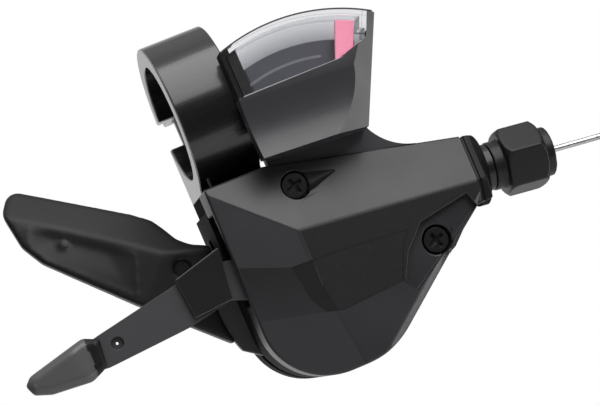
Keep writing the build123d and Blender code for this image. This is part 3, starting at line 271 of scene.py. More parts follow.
@dataclass(frozen=True)
class DrawnMetal(Finish):
    """Metal with fine lines along X, as from extruding, sawing or brushing."""

    metallic: float = 1.0
    line_mm: float = 0.25
    line_height_mm: float = 0.004
    coat: float = 0.0
    coat_roughness: float = 0.12
    stretch: Triple = (0.04, 1.0, 1.0)
    uneven: float = 0.025

    def surface(self, tree: Tree, place: Socket) -> dict[Any, Any]:
        """Fine lines in height and gloss; see the base class for Args and Returns."""
        drawn = add_node(tree, "ShaderNodeMapping", {"Vector": place, "Scale": self.stretch})
        lines = noise(tree, drawn.outputs["Vector"], self.line_mm, detail=2.0)
        most = self.roughness + self.uneven
        gloss = spread(tree, lines, NOISE_MIDDLE, (self.roughness - self.uneven, most))
        return {
            "Base Color": srgb(self.colour), "Metallic": self.metallic, "Roughness": gloss,
            "Normal": bump(tree, lines, self.line_height_mm),
            "Coat Weight": self.coat, "Coat Roughness": self.coat_roughness}


@dataclass(frozen=True)
class ClearPlastic(Finish):
    """Moulded polycarbonate, clear with a faint grey cast."""

    ior: float = 1.58
    wave_mm: float = 9.0
    wave_height_mm: float = 0.05

    def surface(self, tree: Tree, place: Socket) -> dict[Any, Any]:
        """Clear body with slight flow waves; see the base class for Args and Returns."""
        wave = noise(tree, place, self.wave_mm, detail=1.0)
        return {
            "Base Color": srgb(self.colour), "Roughness": self.roughness, "IOR": self.ior,
            "Transmission Weight": 1.0, "Normal": bump(tree, wave, self.wave_height_mm)}


@dataclass(frozen=True)
class ShadedClearPlastic(ClearPlastic):
    """The same polycarbonate with painted shade, darker from its rim towards the scale."""

    centre: Pair = (15.4, -26.6)
    dark_radius: float = 28.6
    clear_radius: float = 33.3
    dark: str = "#85868b"

    def surface(self, tree: Tree, place: Socket) -> dict[Any, Any]:
        """Clear body with the painted shade spread over the radius; see the base class for Args and Returns.
        """
        pivot = (self.centre[0] * MM, 0.0, self.centre[1] * MM)
        out = add_node(tree, "ShaderNodeVectorMath", {0: place, 1: pivot}, operation="SUBTRACT")
        flat = add_node(tree, "ShaderNodeVectorMath", {
            0: out.outputs["Vector"], 1: (1, 0, 1)}, operation="MULTIPLY")
        far = add_node(tree, "ShaderNodeVectorMath", {0: flat.outputs["Vector"]}, operation="LENGTH")
        share = spread(tree, far.outputs["Value"], (self.dark_radius * MM, self.clear_radius * MM))
        tint = blend(tree, share, srgb(self.dark), srgb(self.colour))
        return super().surface(tree, place) | {"Base Color": tint}


@dataclass(frozen=True)
class StrandedSteel(Finish):
    """Bright steel wire, with its strands drawn as a fine ripple in all directions."""

    strand_mm: float = 0.3
    strand_height_mm: float = 0.03

    def surface(self, tree: Tree, place: Socket) -> dict[Any, Any]:
        """Rippled bright metal; see the base class for Args and Returns."""
        ripple = noise(tree, place, self.strand_mm, detail=1.0)
        return {
            "Base Color": srgb(self.colour), "Metallic": 1.0, "Roughness": self.roughness,
            "Normal": bump(tree, ripple, self.strand_height_mm)}


COVER = MouldedPlastic("cover_nylon_satin", "#2b2a2d", 0.4, 0.5)
PANEL = MouldedPlastic("cover_nylon_spark_grain", "#1b1a1c", 0.58, 0.3, Grain.SPARK, 0.3)
# painted shade on the cover's left side below its crease, darker near the crease and lighter towards the
# bottom
SIDE_SHADE = ShadePaintedPlastic("cover_nylon_painted_shade", "#1f1e20", 0.5, 0.36, Grain.FINE, 0.15)
# case nylon; also painted on the lens's left end as shade
CASE_AND_SHADE = MouldedPlastic("case_nylon_satin_and_painted_shade", "#151516", 0.5, 0.25)
# black shroud nylon; also painted on the cap's root as shade
SHROUD_AND_SHADE = MouldedPlastic("black_nylon_and_painted_shade", "#0e0e0f", 0.48, 0.3)
DISPLAY = MouldedPlastic("display_abs_satin", "#39383b", 0.34, 0.55, Grain.FINE, 0.06)
PADDLE = MouldedPlastic("paddle_nylon_satin", "#191819", 0.45, 0.32)
CAP = MouldedPlastic("cap_nylon_half_gloss", "#535354", 0.3, 0.5, Grain.POLISHED, 0.05)
KNOB = MouldedPlastic("knob_nylon_satin", "#1d1d1e", 0.36, 0.3)
SCALE = MouldedPlastic("scale_abs_dark", "#46474e", 0.45, 0.35, Grain.POLISHED, 0.05)
SCALE_LINE = MouldedPlastic("scale_print_pale_grey", "#73747b", 0.5, 0.3, Grain.POLISHED, 0.05)
DRUM = MouldedPlastic("drum_acetal_natural", "#d8d7d2", 0.4, 0.45, Grain.POLISHED, 0.03)
NEEDLE = MouldedPlastic("needle_abs_red", "#ff9ab5", 0.4, 0.4, Grain.POLISHED, 0.02)
ANODISED = DrawnMetal("clamp_aluminium_black_anodised", "#101011", 0.26, 0.5, 0.0, 0.3, 0.0003, 0.45)
# painted shade: the lower part of the clamp's bare ends, by the cover, is near black
FOOT_SHADE = MouldedPlastic("clamp_end_painted_shade", "#0a0a0b", 0.8, 0.05)
SAWN = DrawnMetal("clamp_aluminium_sawn_end", "#d2d1d0", 0.42, 0.5, 1.0, 0.2, 0.006)
PAINTED = DrawnMetal("lever_steel_black_satin", "#414143", 0.4, 0.45, 0.0, 0.4, 0.004)
PLATED = DrawnMetal("fastener_steel_zinc", "#b4b4b6", 0.35, 0.5, 1.0, 0.2, 0.004)
PLAIN_STEEL = DrawnMetal("inner_steel_plain", "#a6a6a8", 0.38, 0.5, 1.0, 0.2, 0.004)
BLACK_SCREW = DrawnMetal("screw_steel_black_oxide", "#161617", 0.3, 0.5, 0.0, 0.2, 0.003)
LENS = ClearPlastic("lens_polycarbonate_clear", "#f2f2f4", 0.03, 0.5)
# painted shade on the lens's rear wall, darker towards the scale
LENS_BACK_SHADE = ShadedClearPlastic("lens_polycarbonate_painted_shade", "#e6e7ea", 0.03, 0.5)
LENS_RIM = MouldedPlastic("lens_polycarbonate_rim_shadow", "#3c3c3f", 0.35, 0.4, Grain.POLISHED, 0.03)
# painted highlight along the lens's lower edge
LIP_HIGHLIGHT = MouldedPlastic("display_painted_lip_highlight", "#a9a9ac", 0.25, 0.6, Grain.POLISHED, 0.03)
# painted highlight on the cover's lower rim and the shroud's front edges
EDGE = MouldedPlastic("nylon_painted_edge_highlight", "#48484a", 0.4, 0.5)
REAR = MouldedPlastic("case_nylon_matt", "#0d0d0e", 0.7, 0.12)
WIRE = StrandedSteel("wire_steel_stranded", "#c8c8c8", 0.3)
PAPER = MouldedPlastic("floor_paper_white", "#f2f2f2", 0.8, 0.2)


def deselect_all() -> None:
    """Leaves nothing selected, in object mode."""
    if bpy.context.object and bpy.context.object.mode != "OBJECT":
        bpy.ops.object.mode_set(mode="OBJECT")
    bpy.ops.object.select_all(action="DESELECT")


def make_active(piece: Piece) -> None:
    """Selects one piece alone and makes it active."""
    deselect_all()
    piece.select_set(True)
    bpy.context.view_layer.objects.active = piece


def apply_modifier(piece: Piece, kind: str, **settings: Any) -> None:
    """Adds a modifier to a piece and applies it.

    Args:
        piece: mesh object.
        kind: Blender's name of the modifier type.
        **settings: properties of the modifier.
    """
    make_active(piece)
    modifier = piece.modifiers.new("step", kind)
    for key, value in settings.items():
        setattr(modifier, key, value)
    bpy.ops.object.modifier_apply(modifier=modifier.name)


def merged_copy(node: str, name: str) -> Piece:
    """Copies a node's mesh as a new piece that stands for it, with its split corners merged.

    Args:
        node: name of the CAD node that the piece stands for.
        name: name of the new piece.

    Returns:
        The piece, with no material yet.
    """
    piece = bpy.data.objects.new(name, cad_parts[node].data.copy())
    bpy.context.scene.collection.objects.link(piece)
    piece.data.materials.clear()
    make_active(piece)
    bpy.ops.mesh.customdata_custom_splitnormals_clear()
    bpy.ops.object.mode_set(mode="EDIT")
    bpy.ops.mesh.select_all(action="SELECT")
    bpy.ops.mesh.remove_doubles(threshold=MERGE)
    bpy.ops.mesh.dissolve_limited(angle_limit=math.radians(FLAT))
    bpy.ops.object.mode_set(mode="OBJECT")
    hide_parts(node)
    return piece


def even_shading(piece: Piece) -> None:
    """Shades a piece smooth, with its sharp edges kept sharp and its flat faces kept flat."""
    make_active(piece)
    bpy.ops.object.shade_smooth_by_angle(angle=math.radians(SHARP))
    apply_modifier(piece, "WEIGHTED_NORMAL", keep_sharp=True, weight=100)


def weigh_edges(piece: Piece, crease: float, share: Share) -> None:
    """Writes how much of the rounding each sharp edge of a piece gets.

    Args:
        piece: mesh object.
        crease: edges sharper than this many degrees get their share, the others none.
        share: gives the share for an edge by its middle in millimetres.
    """
    mesh = piece.data
    beside: dict[tuple[int, int], list[Vector]] = {}
    for face in mesh.polygons:
        for key in face.edge_keys:
            beside.setdefault(key, []).append(face.normal)
    weights = mesh.attributes.new("bevel_weight_edge", "FLOAT", "EDGE")
    for edge in mesh.edges:
        normals = beside.get(edge.key, [])
        if len(normals) == 2 and normals[0].angle(normals[1], 0.0) > math.radians(crease):
            middle = (mesh.vertices[edge.vertices[0]].co + mesh.vertices[edge.vertices[1]].co) / 2
            weights.data[edge.index].value = share(middle / MM)


def finished_copy(node: str, name: str, round_mm: float, crease: float = 25.0, share: Share | None = None,
                  before: Carving | None = None, after: Carving | None = None) -> Piece:
    """Copies a node's mesh and rounds its edges.

    Args:
        node: name of the CAD node that the piece stands for.
        name: name of the new piece.
        round_mm: width of the edge rounding in millimetres.
        crease: edges sharper than this many degrees are rounded.
        share: how much of it an edge gets, by its middle, or None for the same everywhere.
        before: carving done before the edges are rounded.
        after: carving done once they are.

    Returns:
        The finished piece.
    """
    piece = merged_copy(node, name)
    if before:
        before(piece)
    if share:
        weigh_edges(piece, crease, share)
    apply_modifier(piece, "BEVEL", width=round_mm * MM, segments=3,
                   limit_method="WEIGHT" if share else "ANGLE", angle_limit=math.radians(crease),
                   use_clamp_overlap=not share, miter_outer="MITER_ARC")
    if after:
        after(piece)
    even_shading(piece)
    return piece


def moulded_copy(node: str, name: str, grid_mm: float, passes: int, after: Carving | None = None) -> Piece:
    """Copies a node's mesh as one soft moulding, with every edge and step run out.

    Args:
        node: name of the CAD node that the piece stands for.
        name: name of the new piece.
        grid_mm: size of the new mesh's squares in millimetres.
        passes: how often the surface is relaxed.
        after: carving done on the fine mesh, before it is relaxed.

    Returns:
        The finished piece.
    """
    piece = merged_copy(node, name)
    apply_modifier(piece, "REMESH", mode="VOXEL", voxel_size=grid_mm * MM)
    if after:
        after(piece)
    apply_modifier(piece, "SMOOTH", factor=0.5, iterations=passes)
    make_active(piece)
    bpy.ops.object.shade_smooth()
    return piece


def cut_across(piece: Piece, point: Vector, way: Vector) -> None:
    """Cuts a piece's faces along a plane and keeps both sides.

    Args:
        piece: mesh object.
        point: a point of the plane in millimetres.
        way: the plane's normal.
    """
    make_active(piece)
    bpy.ops.object.mode_set(mode="EDIT")
    bpy.ops.mesh.select_all(action="SELECT")
    bpy.ops.mesh.bisect(plane_co=point * MM, plane_no=way)
    bpy.ops.object.mode_set(mode="OBJECT")


def paint_faces(piece: Piece, finish: Finish, test: FaceTest) -> None:
    """Gives some faces of a piece a second finish.

    Args:
        piece: mesh object that already has its main material.
        finish: the finish of the chosen faces.
        test: says whether a face is chosen.
    """
    piece.data.materials.append(finish.material())
    index = len(piece.data.materials) - 1
    chosen = [face for face in piece.data.polygons if test(face)]
    for face in chosen:
        face.material_index = index
    log.info("%s has %d faces in %s", piece.name, len(chosen), finish.name)


def place(piece: Piece, body: Ride, slot: str, finish: Finish) -> None:
    """Dresses a piece and lets it ride on a body.

    Args:
        piece: the new piece.
        body: what it moves with.
        slot: the record's material slot; not used.
        finish: its main finish.
    """
    piece.data.materials.clear()
    piece.data.materials.append(finish.material())
    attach(piece, body.value)
    log.info("%s rides on %s in %s", piece.name, body.value, finish.name)


def ease(share: float) -> float:
    """Turns an even share from 0 to 1 to one that starts and ends softly."""
    return share * share * (3 - 2 * share)


def flat_vector(spot: Pair, y: float = 0.0) -> Vector:
    """Gives the vector of a spot that is known by its X and Z."""
    return Vector((spot[0], y, spot[1]))


def inside(point: Pair, corners: Outline) -> bool:
    """Says whether a point lies in a polygon, both in millimetres."""
    x, z = point
    odd = False
    for (x1, z1), (x2, z2) in zip(corners, corners[1:] + corners[:1]):
        if (z1 > z) != (z2 > z) and x < (x2 - x1) * (z - z1) / (z2 - z1) + x1:
            odd = not odd
    return odd


def edge_distance(point: Pair, corners: Outline) -> float:
    """Gives how far a point lies from a polygon's outline, all in millimetres."""
    spot = Vector(point)
    found = []
    for start, end in zip(corners, corners[1:] + corners[:1]):
        side = Vector(end) - Vector(start)
        along = max(0.0, min(1.0, (spot - Vector(start)).dot(side) / side.length_squared))
        found.append((spot - Vector(start) - side * along).length)
    return min(found)


@dataclass
class ShiftWire:
    """Free end of the inner wire, put away in a tied coil; millimetres, but the length in metres."""

    exit: Triple = (57.834, -2.9, -31.944)
    bend: Triple = (72.706, -2.9, -33.902)
    centre: Pair = (83.345, -50.047)
    ring: float = 12.2
    start_angle: float = 86.0
    wire: float = 1.2
    turns: float = 24.4
    steps: int = 16
    real_length: float = 1.97
    half_rows: int = 3
    row_pitch: float = 0.866
    bundle: float = 2.66
    cross_over: Pair = (0.7, 0.3)
    swell_power: float = 0.75

    def places(self) -> list[Pair]:
        """Gives where each turn lies in the bundle's section, outermost row first."""
        rows: list[Pair] = []
        for row in range(self.half_rows, -self.half_rows - 1, -1):
            out = row * self.wire * self.row_pitch
            shift = 0.5 if row % 2 else 0.0
            across = [(k + shift) * self.wire for k in range(-self.half_rows, self.half_rows)]
            fits = [y for y in across if math.hypot(out, y) <= self.bundle * self.wire]
            rows += [(out, y) for y in (fits if row % 2 else reversed(fits))]
        return rows

    def control_points(self) -> list[Triple]:
        """Gives the spline's control points in millimetres."""
        points = [self.exit, self.bend]
        places = self.places()
        # a spline runs inside its control points, so these lie further out
        swell = 1 / math.cos(math.pi / self.steps) ** self.swell_power
        for i in range(int(self.turns * self.steps) + 1):
            turn, part = divmod(i / self.steps, 1.0)
            here, there = places[int(turn)], places[min(int(turn) + 1, len(places) - 1)]
            share = ease(max(0.0, (part - self.cross_over[0]) / self.cross_over[1]))
            out = here[0] + (there[0] - here[0]) * share
            aside = here[1] + (there[1] - here[1]) * share
            angle = math.radians(self.start_angle - 360 * i / self.steps)
            radius = (self.ring + out) * swell
            x = self.centre[0] + radius * math.cos(angle)
            z = self.centre[1] + radius * math.sin(angle)
            points.append((x, self.exit[1] + aside, z))
        return points

    def build(self) -> None:
        curve = bpy.data.curves.new("shift_wire", "CURVE")
        curve.dimensions = "3D"
        spline = curve.splines.new("NURBS")
        points = self.control_points()
        spline.points.add(len(points) - 1)
        for knot, point in zip(spline.points, points):
            knot.co = (*(c * MM for c in point), 1.0)
        spline.order_u = 3
        spline.use_endpoint_u = True
        spline.resolution_u = 5
        curve.bevel_depth = self.wire / 2 * MM
        curve.bevel_resolution = 3
        curve.use_fill_caps = True
        wire = bpy.data.objects.new("shift_wire", curve)
        bpy.context.scene.collection.objects.link(wire)
        place(wire, Ride.BASE, "wire_steel", WIRE)
        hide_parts("free_cable", "cable_coil")


@dataclass
class Clamp:
    """Extruded band round the handlebar, black with bare sawn ends; sizes in millimetres."""

    width: float = 12.0
    gap_centre: float = -0.5
    gap: float = 5.6
    gap_margin: float = 0.4
    gap_front: float = 8.0
    foot: float = -14.6
    end_depth: float = 0.6
    square: float = 0.6

    def is_end(self, face: Face) -> bool:
        """Says whether a face belongs to one of the two ends."""
        outside = abs(face.center.x) > (self.width / 2 - self.end_depth) * MM
        return outside and abs(face.normal.x) > self.square

    def is_foot_shade(self, face: Face) -> bool:
        """Says whether a face belongs to an end's lower part, by the cover, which is painted as shade."""
        return self.is_end(face) and face.center.z < self.foot * MM

    def is_sawn(self, face: Face) -> bool:
        """Says whether a face was cut after the black finish: the ends above the foot, and the slit."""
        if self.is_end(face):
            return face.center.z > self.foot * MM
        in_slit = abs(face.center.z / MM - self.gap_centre) < self.gap / 2 + self.gap_margin
        return in_slit and abs(face.normal.z) > self.square and face.center.y > self.gap_front * MM

    def mark_foot(self, band: Piece) -> None:
        """Cuts the border between the bare part of the ends and their lower part painted as shade."""
        cut_across(band, Vector((0, 0, self.foot)), Vector((0, 0, 1)))

    def build(self) -> None:
        """Builds and dresses the band and its screws."""
        band = finished_copy("clamp_band", "clamp_band_finish", round_mm=0.5, after=self.mark_foot)
        place(band, Ride.BASE, "clamp_black", ANODISED)
        paint_faces(band, SAWN, self.is_sawn)
        # painted shade on the lower part of the ends
        paint_faces(band, FOOT_SHADE, self.is_foot_shade)
        for node, name in (("clamp_bolt", "clamp_bolt_finish"), ("foot_screw", "foot_screw_finish")):
            place(finished_copy(node, name, round_mm=0.25), Ride.BASE, "bolt_steel", PLATED)


@dataclass
class Body:
    """Cover of flat facets, rear case and the two screws; sizes in millimetres, outlines as X and Z."""

    facet: Triple = (0.096, -1.0, -0.060)
    facet_match: float = 0.9998
    front_y: float = -10.0
    facing: float = -0.9
    # outline of the painted shade on the left side
    side_shade: Outline = (
        (-9.0, -28.7), (1.9, -33.4), (2.9, -40.0), (4.6, -43.0), (-0.2, -42.0), (-9.0, -38.8))
    front_grain: Outline = (
        (-5.0, -15.0), (46.0, -15.0), (46.0, -40.0), (21.3, -46.2), (19.6, -43.4), (7.4, -43.9), (4.6, -43.0))
    creases: tuple[tuple[float, float, float, float], ...] = (
        (1.9, -33.4, 0.393, 0.920), (4.6, -43.0, 0.260, 0.966), (19.6, -43.4, 0.855, 0.519))
    panel_rise: float = 0.42
    panel_border: float = 0.2
    panel_margin: float = 0.4
    pocket_margin: float = 0.3
    recess_share: float = 0.3
    pocket: Outline = (
        (36.9, -33.4), (26.9, -34.9), (22.6, -38.9), (20.3, -43.1), (21.3, -46.2), (37.9, -36.2))
    teardrop: Outline = ((5.6, -17.0), (17.2, -19.4), (17.2, -21.2), (5.6, -23.6))
    rim_corner: Pair = (13.5, -54.2)
    rim_way: Pair = (0.589, -0.808)
    rim_width: float = 1.4
    rim_drop: float = 0.8
    rim_end: float = 38.3
    rim_facing: float = -0.8
    rim_turn: Pair = (0.3, 0.95)
    rim_front: float = -0.2
    hair: float = 0.01
    boss: Pair = (11.83, -25.887)
    boss_y: float = -2.9
    boss_way: Pair = (0.99144, -0.13053)
    flange_x: float = 36.0
    groove: tuple[float, float, float, float] = (28.6, 28.8, 29.2, 29.4)
    groove_depth: float = 0.3
    groove_margin: float = 0.1
    seat_end: float = 6.9
    seat_front: float = -5.2
    seat_floor: float = -20.2
    seat_top: float = -18.06
    seat_margin: float = 0.4
    panel: Outline = (
        (1.9, -33.4), (12.0, -34.0), (24.2, -35.2), (22.0, -38.2),
        (19.6, -43.4), (7.4, -43.9), (4.6, -43.0), (2.9, -40.0))

    def is_grained(self, face: Face) -> bool:
        """Says whether a face is part of the grained band round the front, with the panel in it."""
        middle = face.center / MM
        spot = (middle.x, middle.z)
        on_facet = face.normal.dot(Vector(self.facet).normalized()) > self.facet_match
        sunk = face.normal.y < self.facing and inside(spot, self.panel)
        return middle.y < self.front_y and (on_facet and inside(spot, self.front_grain) or sunk)

    def is_side(self, face: Face) -> bool:
        """Says whether a face is part of the left side below its crease, which gets painted shade."""
        middle = face.center / MM
        in_front = middle.y < self.front_y and face.normal.y < self.facing
        return in_front and inside((middle.x, middle.z), self.side_shade)

    def rounding(self, middle: Vector) -> float:
        """Gives the share of the rounding: full on the facets' edges, little or none round the recesses."""
        spot = (middle.x, middle.z)
        if edge_distance(spot, self.panel) < self.panel_margin:
            return 0.0
        if inside(spot, self.teardrop) or edge_distance(spot, self.pocket) < self.pocket_margin:
            return self.recess_share
        return 1.0

    def raise_panel(self, cover: Piece) -> None:
        """Brings the floor of the panel up to a hair below the facets round it."""
        mesh = cover.data
        floor = {i for face in mesh.polygons
                 if face.normal.y < self.facing and face.center.y < self.front_y * MM
                 and inside((face.center.x / MM, face.center.z / MM), self.panel) for i in face.vertices}
        for i in floor:
            spot = mesh.vertices[i].co / MM
            if edge_distance((spot.x, spot.z), self.panel) < self.panel_border:
                mesh.vertices[i].co.y -= self.panel_rise * MM

    def along_boss(self, point: Vector) -> float:
        """Says how far along the cable a point in metres lies, in millimetres."""
        out = (point.x / MM - self.boss[0], point.z / MM - self.boss[1])
        return out[0] * self.boss_way[0] + out[1] * self.boss_way[1]

    def is_flange(self, face: Face) -> bool:
        """Says whether a face is part of the dark flange at the cable's end of the cover."""
        return face.center.x > self.flange_x * MM and self.along_boss(face.center) > self.groove[1]

    def slope_rim(self, cover: Piece) -> None:
        """Lets the front slope down to the long lower edge over the rim's width."""
        way = flat_vector(self.rim_way)
        start = flat_vector(self.rim_corner) - way * self.rim_width
        cut_across(cover, start, way)
        mesh = cover.data
        front = {i for face in mesh.polygons if face.normal.y < self.rim_facing for i in face.vertices}
        for i in front:
            spot = mesh.vertices[i].co / MM
            out = (spot - start).dot(way)
            if out > self.hair and spot.x < self.rim_end and not inside((spot.x, spot.z), self.pocket):
                mesh.vertices[i].co.y += out * self.rim_drop * MM

    def is_rim_highlight(self, face: Face) -> bool:
        """Says whether a face lies on the sloped rim, which gets a painted highlight."""
        way = flat_vector(self.rim_way)
        out = (face.center / MM - flat_vector(self.rim_corner)).dot(way)
        least, most = self.rim_turn
        turned = least < face.normal.dot(way) < most and face.normal.y < self.rim_front
        return turned and out > -self.rim_width and face.center.x < self.rim_end * MM

    def prepare(self, cover: Piece) -> None:
        """Does the carving that comes before the rounding."""
        self.raise_panel(cover)
        self.slope_rim(cover)

    def cut_groove(self, cover: Piece) -> None:
        """Cuts the groove that sets the flange off at the cable's end, and the borders of the grain and of
        the painted shade.
        """
        for x, z, way_x, way_z in self.creases:
            cut_across(cover, flat_vector((x, z)), flat_vector((way_x, way_z)))
        way = flat_vector(self.boss_way)
        for far in self.groove:
            cut_across(cover, flat_vector(self.boss) + way * far, way)
        for vertex in cover.data.vertices:
            far = self.along_boss(vertex.co)
            out = vertex.co - (flat_vector(self.boss, self.boss_y) + way * far) * MM
            in_groove = self.groove[0] + self.groove_margin < far < self.groove[3] - self.groove_margin
            if in_groove and vertex.co.x > self.flange_x * MM:
                vertex.co -= out.normalized() * self.groove_depth * MM

    def fill_seat(self, case: Piece) -> None:
        """Brings the rear case's cut-out up to the clamp's foot, so that no light shows below it."""
        for vertex in case.data.vertices:
            x, y, z = vertex.co / MM
            if x < self.seat_end and y > self.seat_front and abs(z - self.seat_floor) < self.seat_margin:
                vertex.co.z = self.seat_top * MM

    def build(self) -> None:
        """Builds and dresses the shells."""
        cover = finished_copy("front_cover", "front_cover_finish", round_mm=0.45, crease=14.0,
                              share=self.rounding, before=self.prepare, after=self.cut_groove)
        place(cover, Ride.BASE, "cover_plastic", COVER)
        # painted shade on the left side below its crease
        paint_faces(cover, SIDE_SHADE, self.is_side)
        paint_faces(cover, PANEL, self.is_grained)
        paint_faces(cover, CASE_AND_SHADE, self.is_flange)
        # painted highlight along the lower rim
        paint_faces(cover, EDGE, self.is_rim_highlight)
        rear = finished_copy("rear_case", "rear_case_finish", round_mm=0.5, before=self.fill_seat)
        place(rear, Ride.BASE, "case_plastic", REAR)
        screws = finished_copy("cover_screws", "cover_screws_finish", round_mm=0.18)
        place(screws, Ride.BASE, "screw_black", BLACK_SCREW)


@dataclass
class GearDisplay:
    """Housing, clear lens, scale plate and needle; sizes in millimetres, turns in degrees."""

    back_y: float = -13.5
    back_facing: float = 0.7
    end_x: float = 7.7
    pivot: Pair = (15.4, -26.6)
    # dark band along the lens's outer rim: painted shade
    rim_shade: Triple = (34.12, -19.42, 0.26)
    rim_shade_turn: Pair = (-18.4, -49.0)
    line: Triple = (26.7, -14.47, 0.5)
    line_turn: Pair = (-20.5, -35.0)
    line_height: float = 0.08
    lip: tuple[Pair, Pair] = ((5.4, -3.0), (24.6, -2.95))
    lip_y: float = -19.45
    lip_height: Pair = (0.2, 0.09)
    lip_depth: Pair = (-0.1, 0.35)
    lip_rounding: float = 0.04
    arc_steps: int = 40

    def is_end(self, face: Face) -> bool:
        """Says whether a face belongs to the lens's left end, which is painted dark as shade."""
        return face.center.x < self.end_x * MM

    def arc(self, name: str, ring: Triple, turn: Pair, depth: float) -> Piece:
        """Spins a small rectangle round the needle's pivot.

        Args:
            name: name of the new piece.
            ring: radius, place along Y and width of the band in millimetres.
            turn: start from the upright, and sweep, in degrees.
            depth: size along Y in millimetres.

        Returns:
            The curved band, not dressed yet.
        """
        deselect_all()
        radius, y, width = ring
        pivot = flat_vector(self.pivot, y) * MM
        bpy.ops.mesh.primitive_plane_add(size=width * MM, rotation=(0, math.pi / 2, 0),
                                         location=pivot + Vector((0, 0, radius * MM)))
        band = bpy.context.object
        band.name = name
        bpy.ops.object.transform_apply(location=True, rotation=True)
        for vertex in band.data.vertices:
            vertex.co.y = pivot.y + (vertex.co.y - pivot.y) * depth / width
        bpy.ops.object.mode_set(mode="EDIT")
        bpy.ops.mesh.select_all(action="SELECT")
        start, sweep = (math.radians(v) for v in turn)
        bpy.ops.transform.rotate(value=-start, orient_axis="Y", center_override=pivot)
        bpy.ops.mesh.spin(steps=self.arc_steps, angle=sweep, center=pivot, axis=(0, 1, 0))
        bpy.ops.mesh.select_all(action="SELECT")
        bpy.ops.mesh.normals_make_consistent(inside=False)
        bpy.ops.object.mode_set(mode="OBJECT")
        even_shading(band)
        return band

    def lip_highlight(self) -> None:
        """Draws a pale bar along the lens's lower edge that thins to the right: a painted highlight."""
        deselect_all()
        bpy.ops.mesh.primitive_cube_add(size=1.0)
        lip = bpy.context.object
        lip.name = "lens_lip_highlight"
        for vertex in lip.data.vertices:
            right, back, top = (value > 0 for value in vertex.co)
            base = flat_vector(self.lip[right], self.lip_y)
            rise = self.lip_height[right] if top else 0.0
            vertex.co = (base + Vector((0, self.lip_depth[back], rise))) * MM
        apply_modifier(lip, "BEVEL", width=self.lip_rounding * MM, segments=2)
        even_shading(lip)
        # painted highlight along the lens's lower edge
        place(lip, Ride.BASE, "lens_clear", LIP_HIGHLIGHT)

    def is_back(self, face: Face) -> bool:
        """Says whether a face belongs to the lens's rear wall."""
        return face.center.y > self.back_y * MM and abs(face.normal.y) > self.back_facing

    def build(self) -> None:
        """Builds and dresses the display."""
        housing = finished_copy("indicator_housing", "display_housing_finish", round_mm=0.35)
        place(housing, Ride.BASE, "pod_plastic", DISPLAY)
        lens = finished_copy("indicator_lens", "display_lens_finish", round_mm=0.3)
        place(lens, Ride.BASE, "lens_clear", LENS)
        lens.visible_shadow = False
        # painted shade on the lens's rear wall
        paint_faces(lens, LENS_BACK_SHADE, self.is_back)
        # painted shade: the lens's left end is painted dark
        paint_faces(lens, CASE_AND_SHADE, self.is_end)
        # painted shade: a dark band along the lens's outer rim
        rim_shade = self.arc("lens_rim_shade", self.rim_shade, self.rim_shade_turn, self.rim_shade[2])
        place(rim_shade, Ride.BASE, "pod_plastic", LENS_RIM)
        line = self.arc("scale_line", self.line, self.line_turn, self.line_height)
        place(line, Ride.BASE, "scale_dark", SCALE_LINE)
        self.lip_highlight()
        scale = finished_copy("gear_scale", "gear_scale_finish", round_mm=0.2)
        place(scale, Ride.BASE, "scale_dark", SCALE)
        needle = finished_copy("gear_needle", "gear_needle_finish", round_mm=0.15)
        place(needle, Ride.NEEDLE, "needle_red", NEEDLE)


